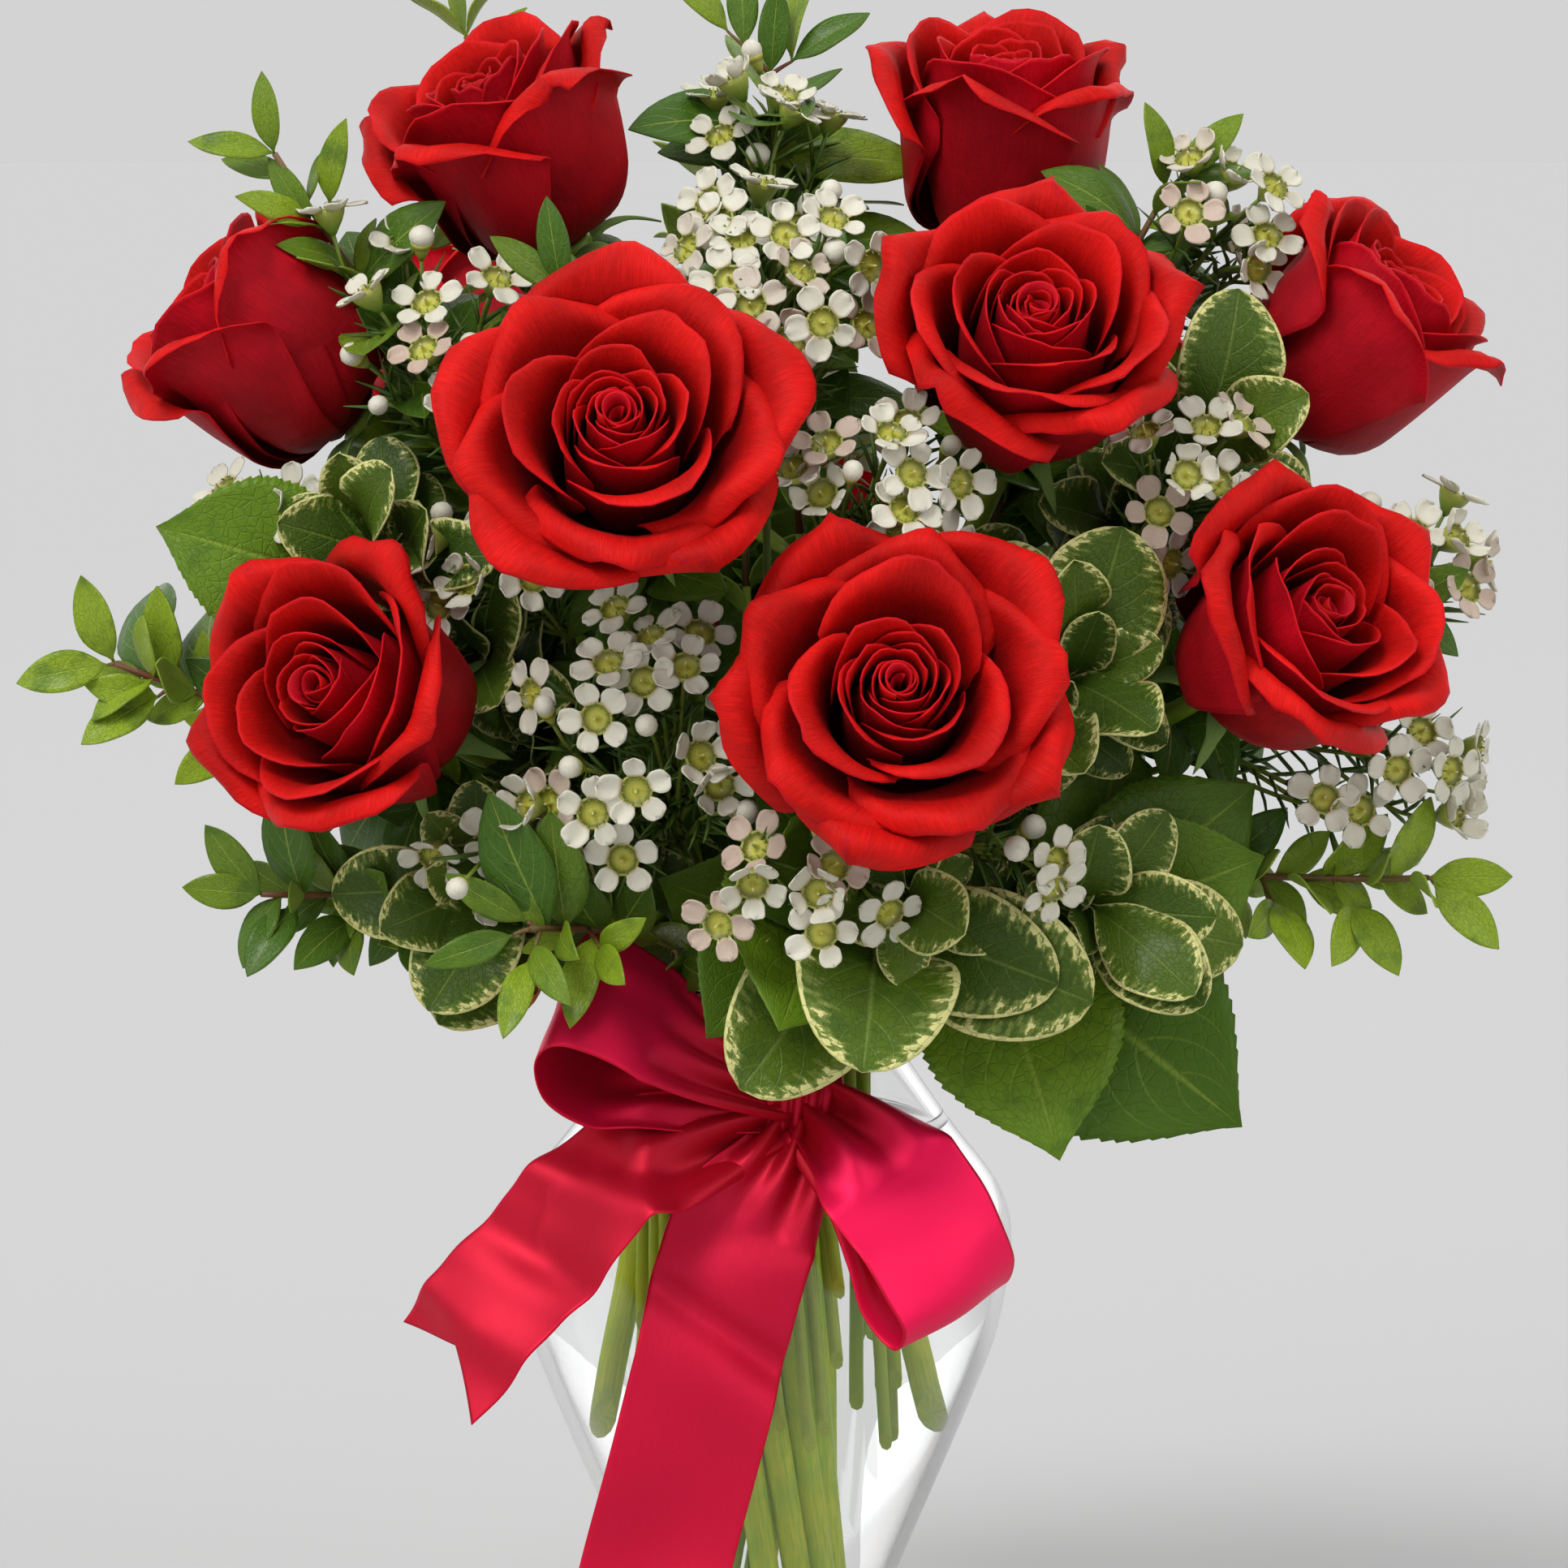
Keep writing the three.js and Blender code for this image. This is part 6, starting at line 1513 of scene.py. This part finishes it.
def make_knot(material, band):
    """The turn of ribbon round the middle of the bow, gathered into pleats."""
    wide, deep, tall = KNOT_SIZE
    turn, s = np.meshgrid(np.linspace(0, 2 * math.pi, 73), np.linspace(-1, 1, 41), indexing="ij")
    pleat = 0.9 * np.cos(math.pi * KNOT_PLEATS * s + 0.8 * np.sin(2 * turn)) * (1 - 0.3 * s ** 2)
    reach = 1 - 0.24 * np.abs(s) ** 2.6
    x = wide * s * (1 + 0.05 * np.sin(3 * turn))
    y = (deep * reach - 0.9 + pleat) * np.cos(turn)
    z = (tall * reach - 0.9 + pleat) * np.sin(turn)
    points = KNOT + np.stack([x, y, z + 0.12 * x], axis=2)
    shape = Shape()
    shape.blade(points, RIBBON_THICKNESS, KNOT_PAINTED_SHADE, flip=True)
    return sheet_of(shape, "ribbon_knot", material, "gathered", [band])


def make_bow():
    material = ribbon_look()
    band = make_band(material)
    knot = make_knot(material, band)
    for name, strip in RIBBON_STRIPS.items():
        make_strip(f"ribbon_{name}", strip, material, [knot, "vase"], **RIBBON_FOLDS[name])


# ---------------------------------------------------------------- making

random_cut = seeded(4)
routes = {node: spray_route(node, end, mix(*GREEN_CUT_HEIGHTS, random_cut())) for node, end, _ in SPRAYS}
leafy = {node: (node.split("_")[0], bezier(route[1], 30)[10:]) for node, route in routes.items()
         if not node.startswith("waxflower")}
inner = inner_leaves(leafy)
for index, (node, _, parts) in enumerate(SPRAYS):
    if node in leafy:
        make_leafy_spray(index, node, parts, routes[node], inner[node])
    else:
        make_waxflower(index, node, parts, routes[node])
for index, (name, centre, axis, is_open, spin, leans) in enumerate(ROSES):
    make_bloom(index, name, centre, axis, is_open, spin)
    make_rose_stem(index, name, centre, axis, spin, leans)
make_water(make_vase())
make_bow()

# ---------------------------------------------------------------- floor, light and camera


def aim(obj, target):
    obj.rotation_euler = (Vector(target) - obj.location).to_track_quat("-Z", "Y").to_euler()


def add_sun(name, way, strength, spread):
    """A far and wide lamp, which lights the floor evenly."""
    light = bpy.data.lights.new(name, "SUN")
    light.energy = strength
    light.angle = math.radians(spread)
    lamp = add_object(name, light)
    lamp.location = Vector(way)
    aim(lamp, ORIGIN)


def make_floor():
    work = bmesh.new()
    bmesh.ops.create_circle(work, cap_ends=True, segments=96, radius=FLOOR_RADIUS)
    mesh = bpy.data.meshes.new("floor")
    work.to_mesh(mesh)
    work.free()
    mesh.materials.append(floor_look())
    floor = add_object("floor", mesh)
    floor.location.z = -FLOOR_DROP
    floor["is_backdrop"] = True


def make_world():
    """An even backdrop for the camera, and a soft studio with bright panels for all other rays."""
    world = bpy.data.worlds.new("studio")
    bpy.context.scene.world = world
    world.use_nodes = True
    tree = world.node_tree

    def node(kind, *inputs, **settings):
        made = tree.nodes.new("ShaderNode" + kind)
        for name, value in settings.items():
            setattr(made, name, value)
        for socket, value in zip(made.inputs, inputs):
            if isinstance(value, bpy.types.NodeSocket):
                tree.links.new(value, socket)
            else:
                socket.default_value = value
        return made

    way = node("TexCoord").outputs["Generated"]
    split = node("SeparateXYZ", way).outputs
    height = split["Z"]
    glow = node("MapRange", height, 0.0, 0.9, *SKY).outputs[0]
    behind = node("MapRange", split["Y"], 0.2, 0.7, 0.0, BACK_GLOW).outputs[0]
    low = node("MapRange", height, 0.15, 0.45, 1.0, 0.0).outputs[0]
    glow = node("Math", behind, low, glow, operation="MULTIPLY_ADD").outputs[0]
    for place, outer, inner, bright in PANELS:
        place = tuple(unit(np.array(place)))
        near = node("VectorMath", way, place, operation="DOT_PRODUCT").outputs["Value"]
        panel = node("MapRange", near, outer, inner, 0.0, bright).outputs[0]
        glow = node("Math", glow, panel, operation="ADD").outputs[0]
    seen = node("LightPath").outputs["Is Camera Ray"]
    change = node("Math", BACKDROP, glow, operation="SUBTRACT").outputs[0]
    strength = node("Math", seen, change, glow, operation="MULTIPLY_ADD").outputs[0]
    tree.links.new(strength, tree.nodes["Background"].inputs["Strength"])
    tree.nodes["Background"].inputs["Color"].default_value = (1, 1, 1, 1)


def make_camera():
    lens = bpy.data.cameras.new("camera")
    lens.sensor_width = 36
    lens.lens = FOCAL_LENGTH
    camera = add_object("camera", lens)
    elevation = math.radians(CAMERA_ELEVATION)
    way = np.array([0, -math.cos(elevation), math.sin(elevation)])
    camera.location = CAMERA_TARGET + way * CAMERA_DISTANCE
    aim(camera, CAMERA_TARGET)
    bpy.context.scene.camera = camera


make_floor()
make_world()
for sun in SUNS:
    add_sun(*sun)
make_camera()
bpy.context.scene.view_settings.view_transform = "Standard"

sizes = {"cad": CAD_BOX, "scene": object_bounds()}
{key: [list(corner) for corner in box] for key, box in sizes.items()}
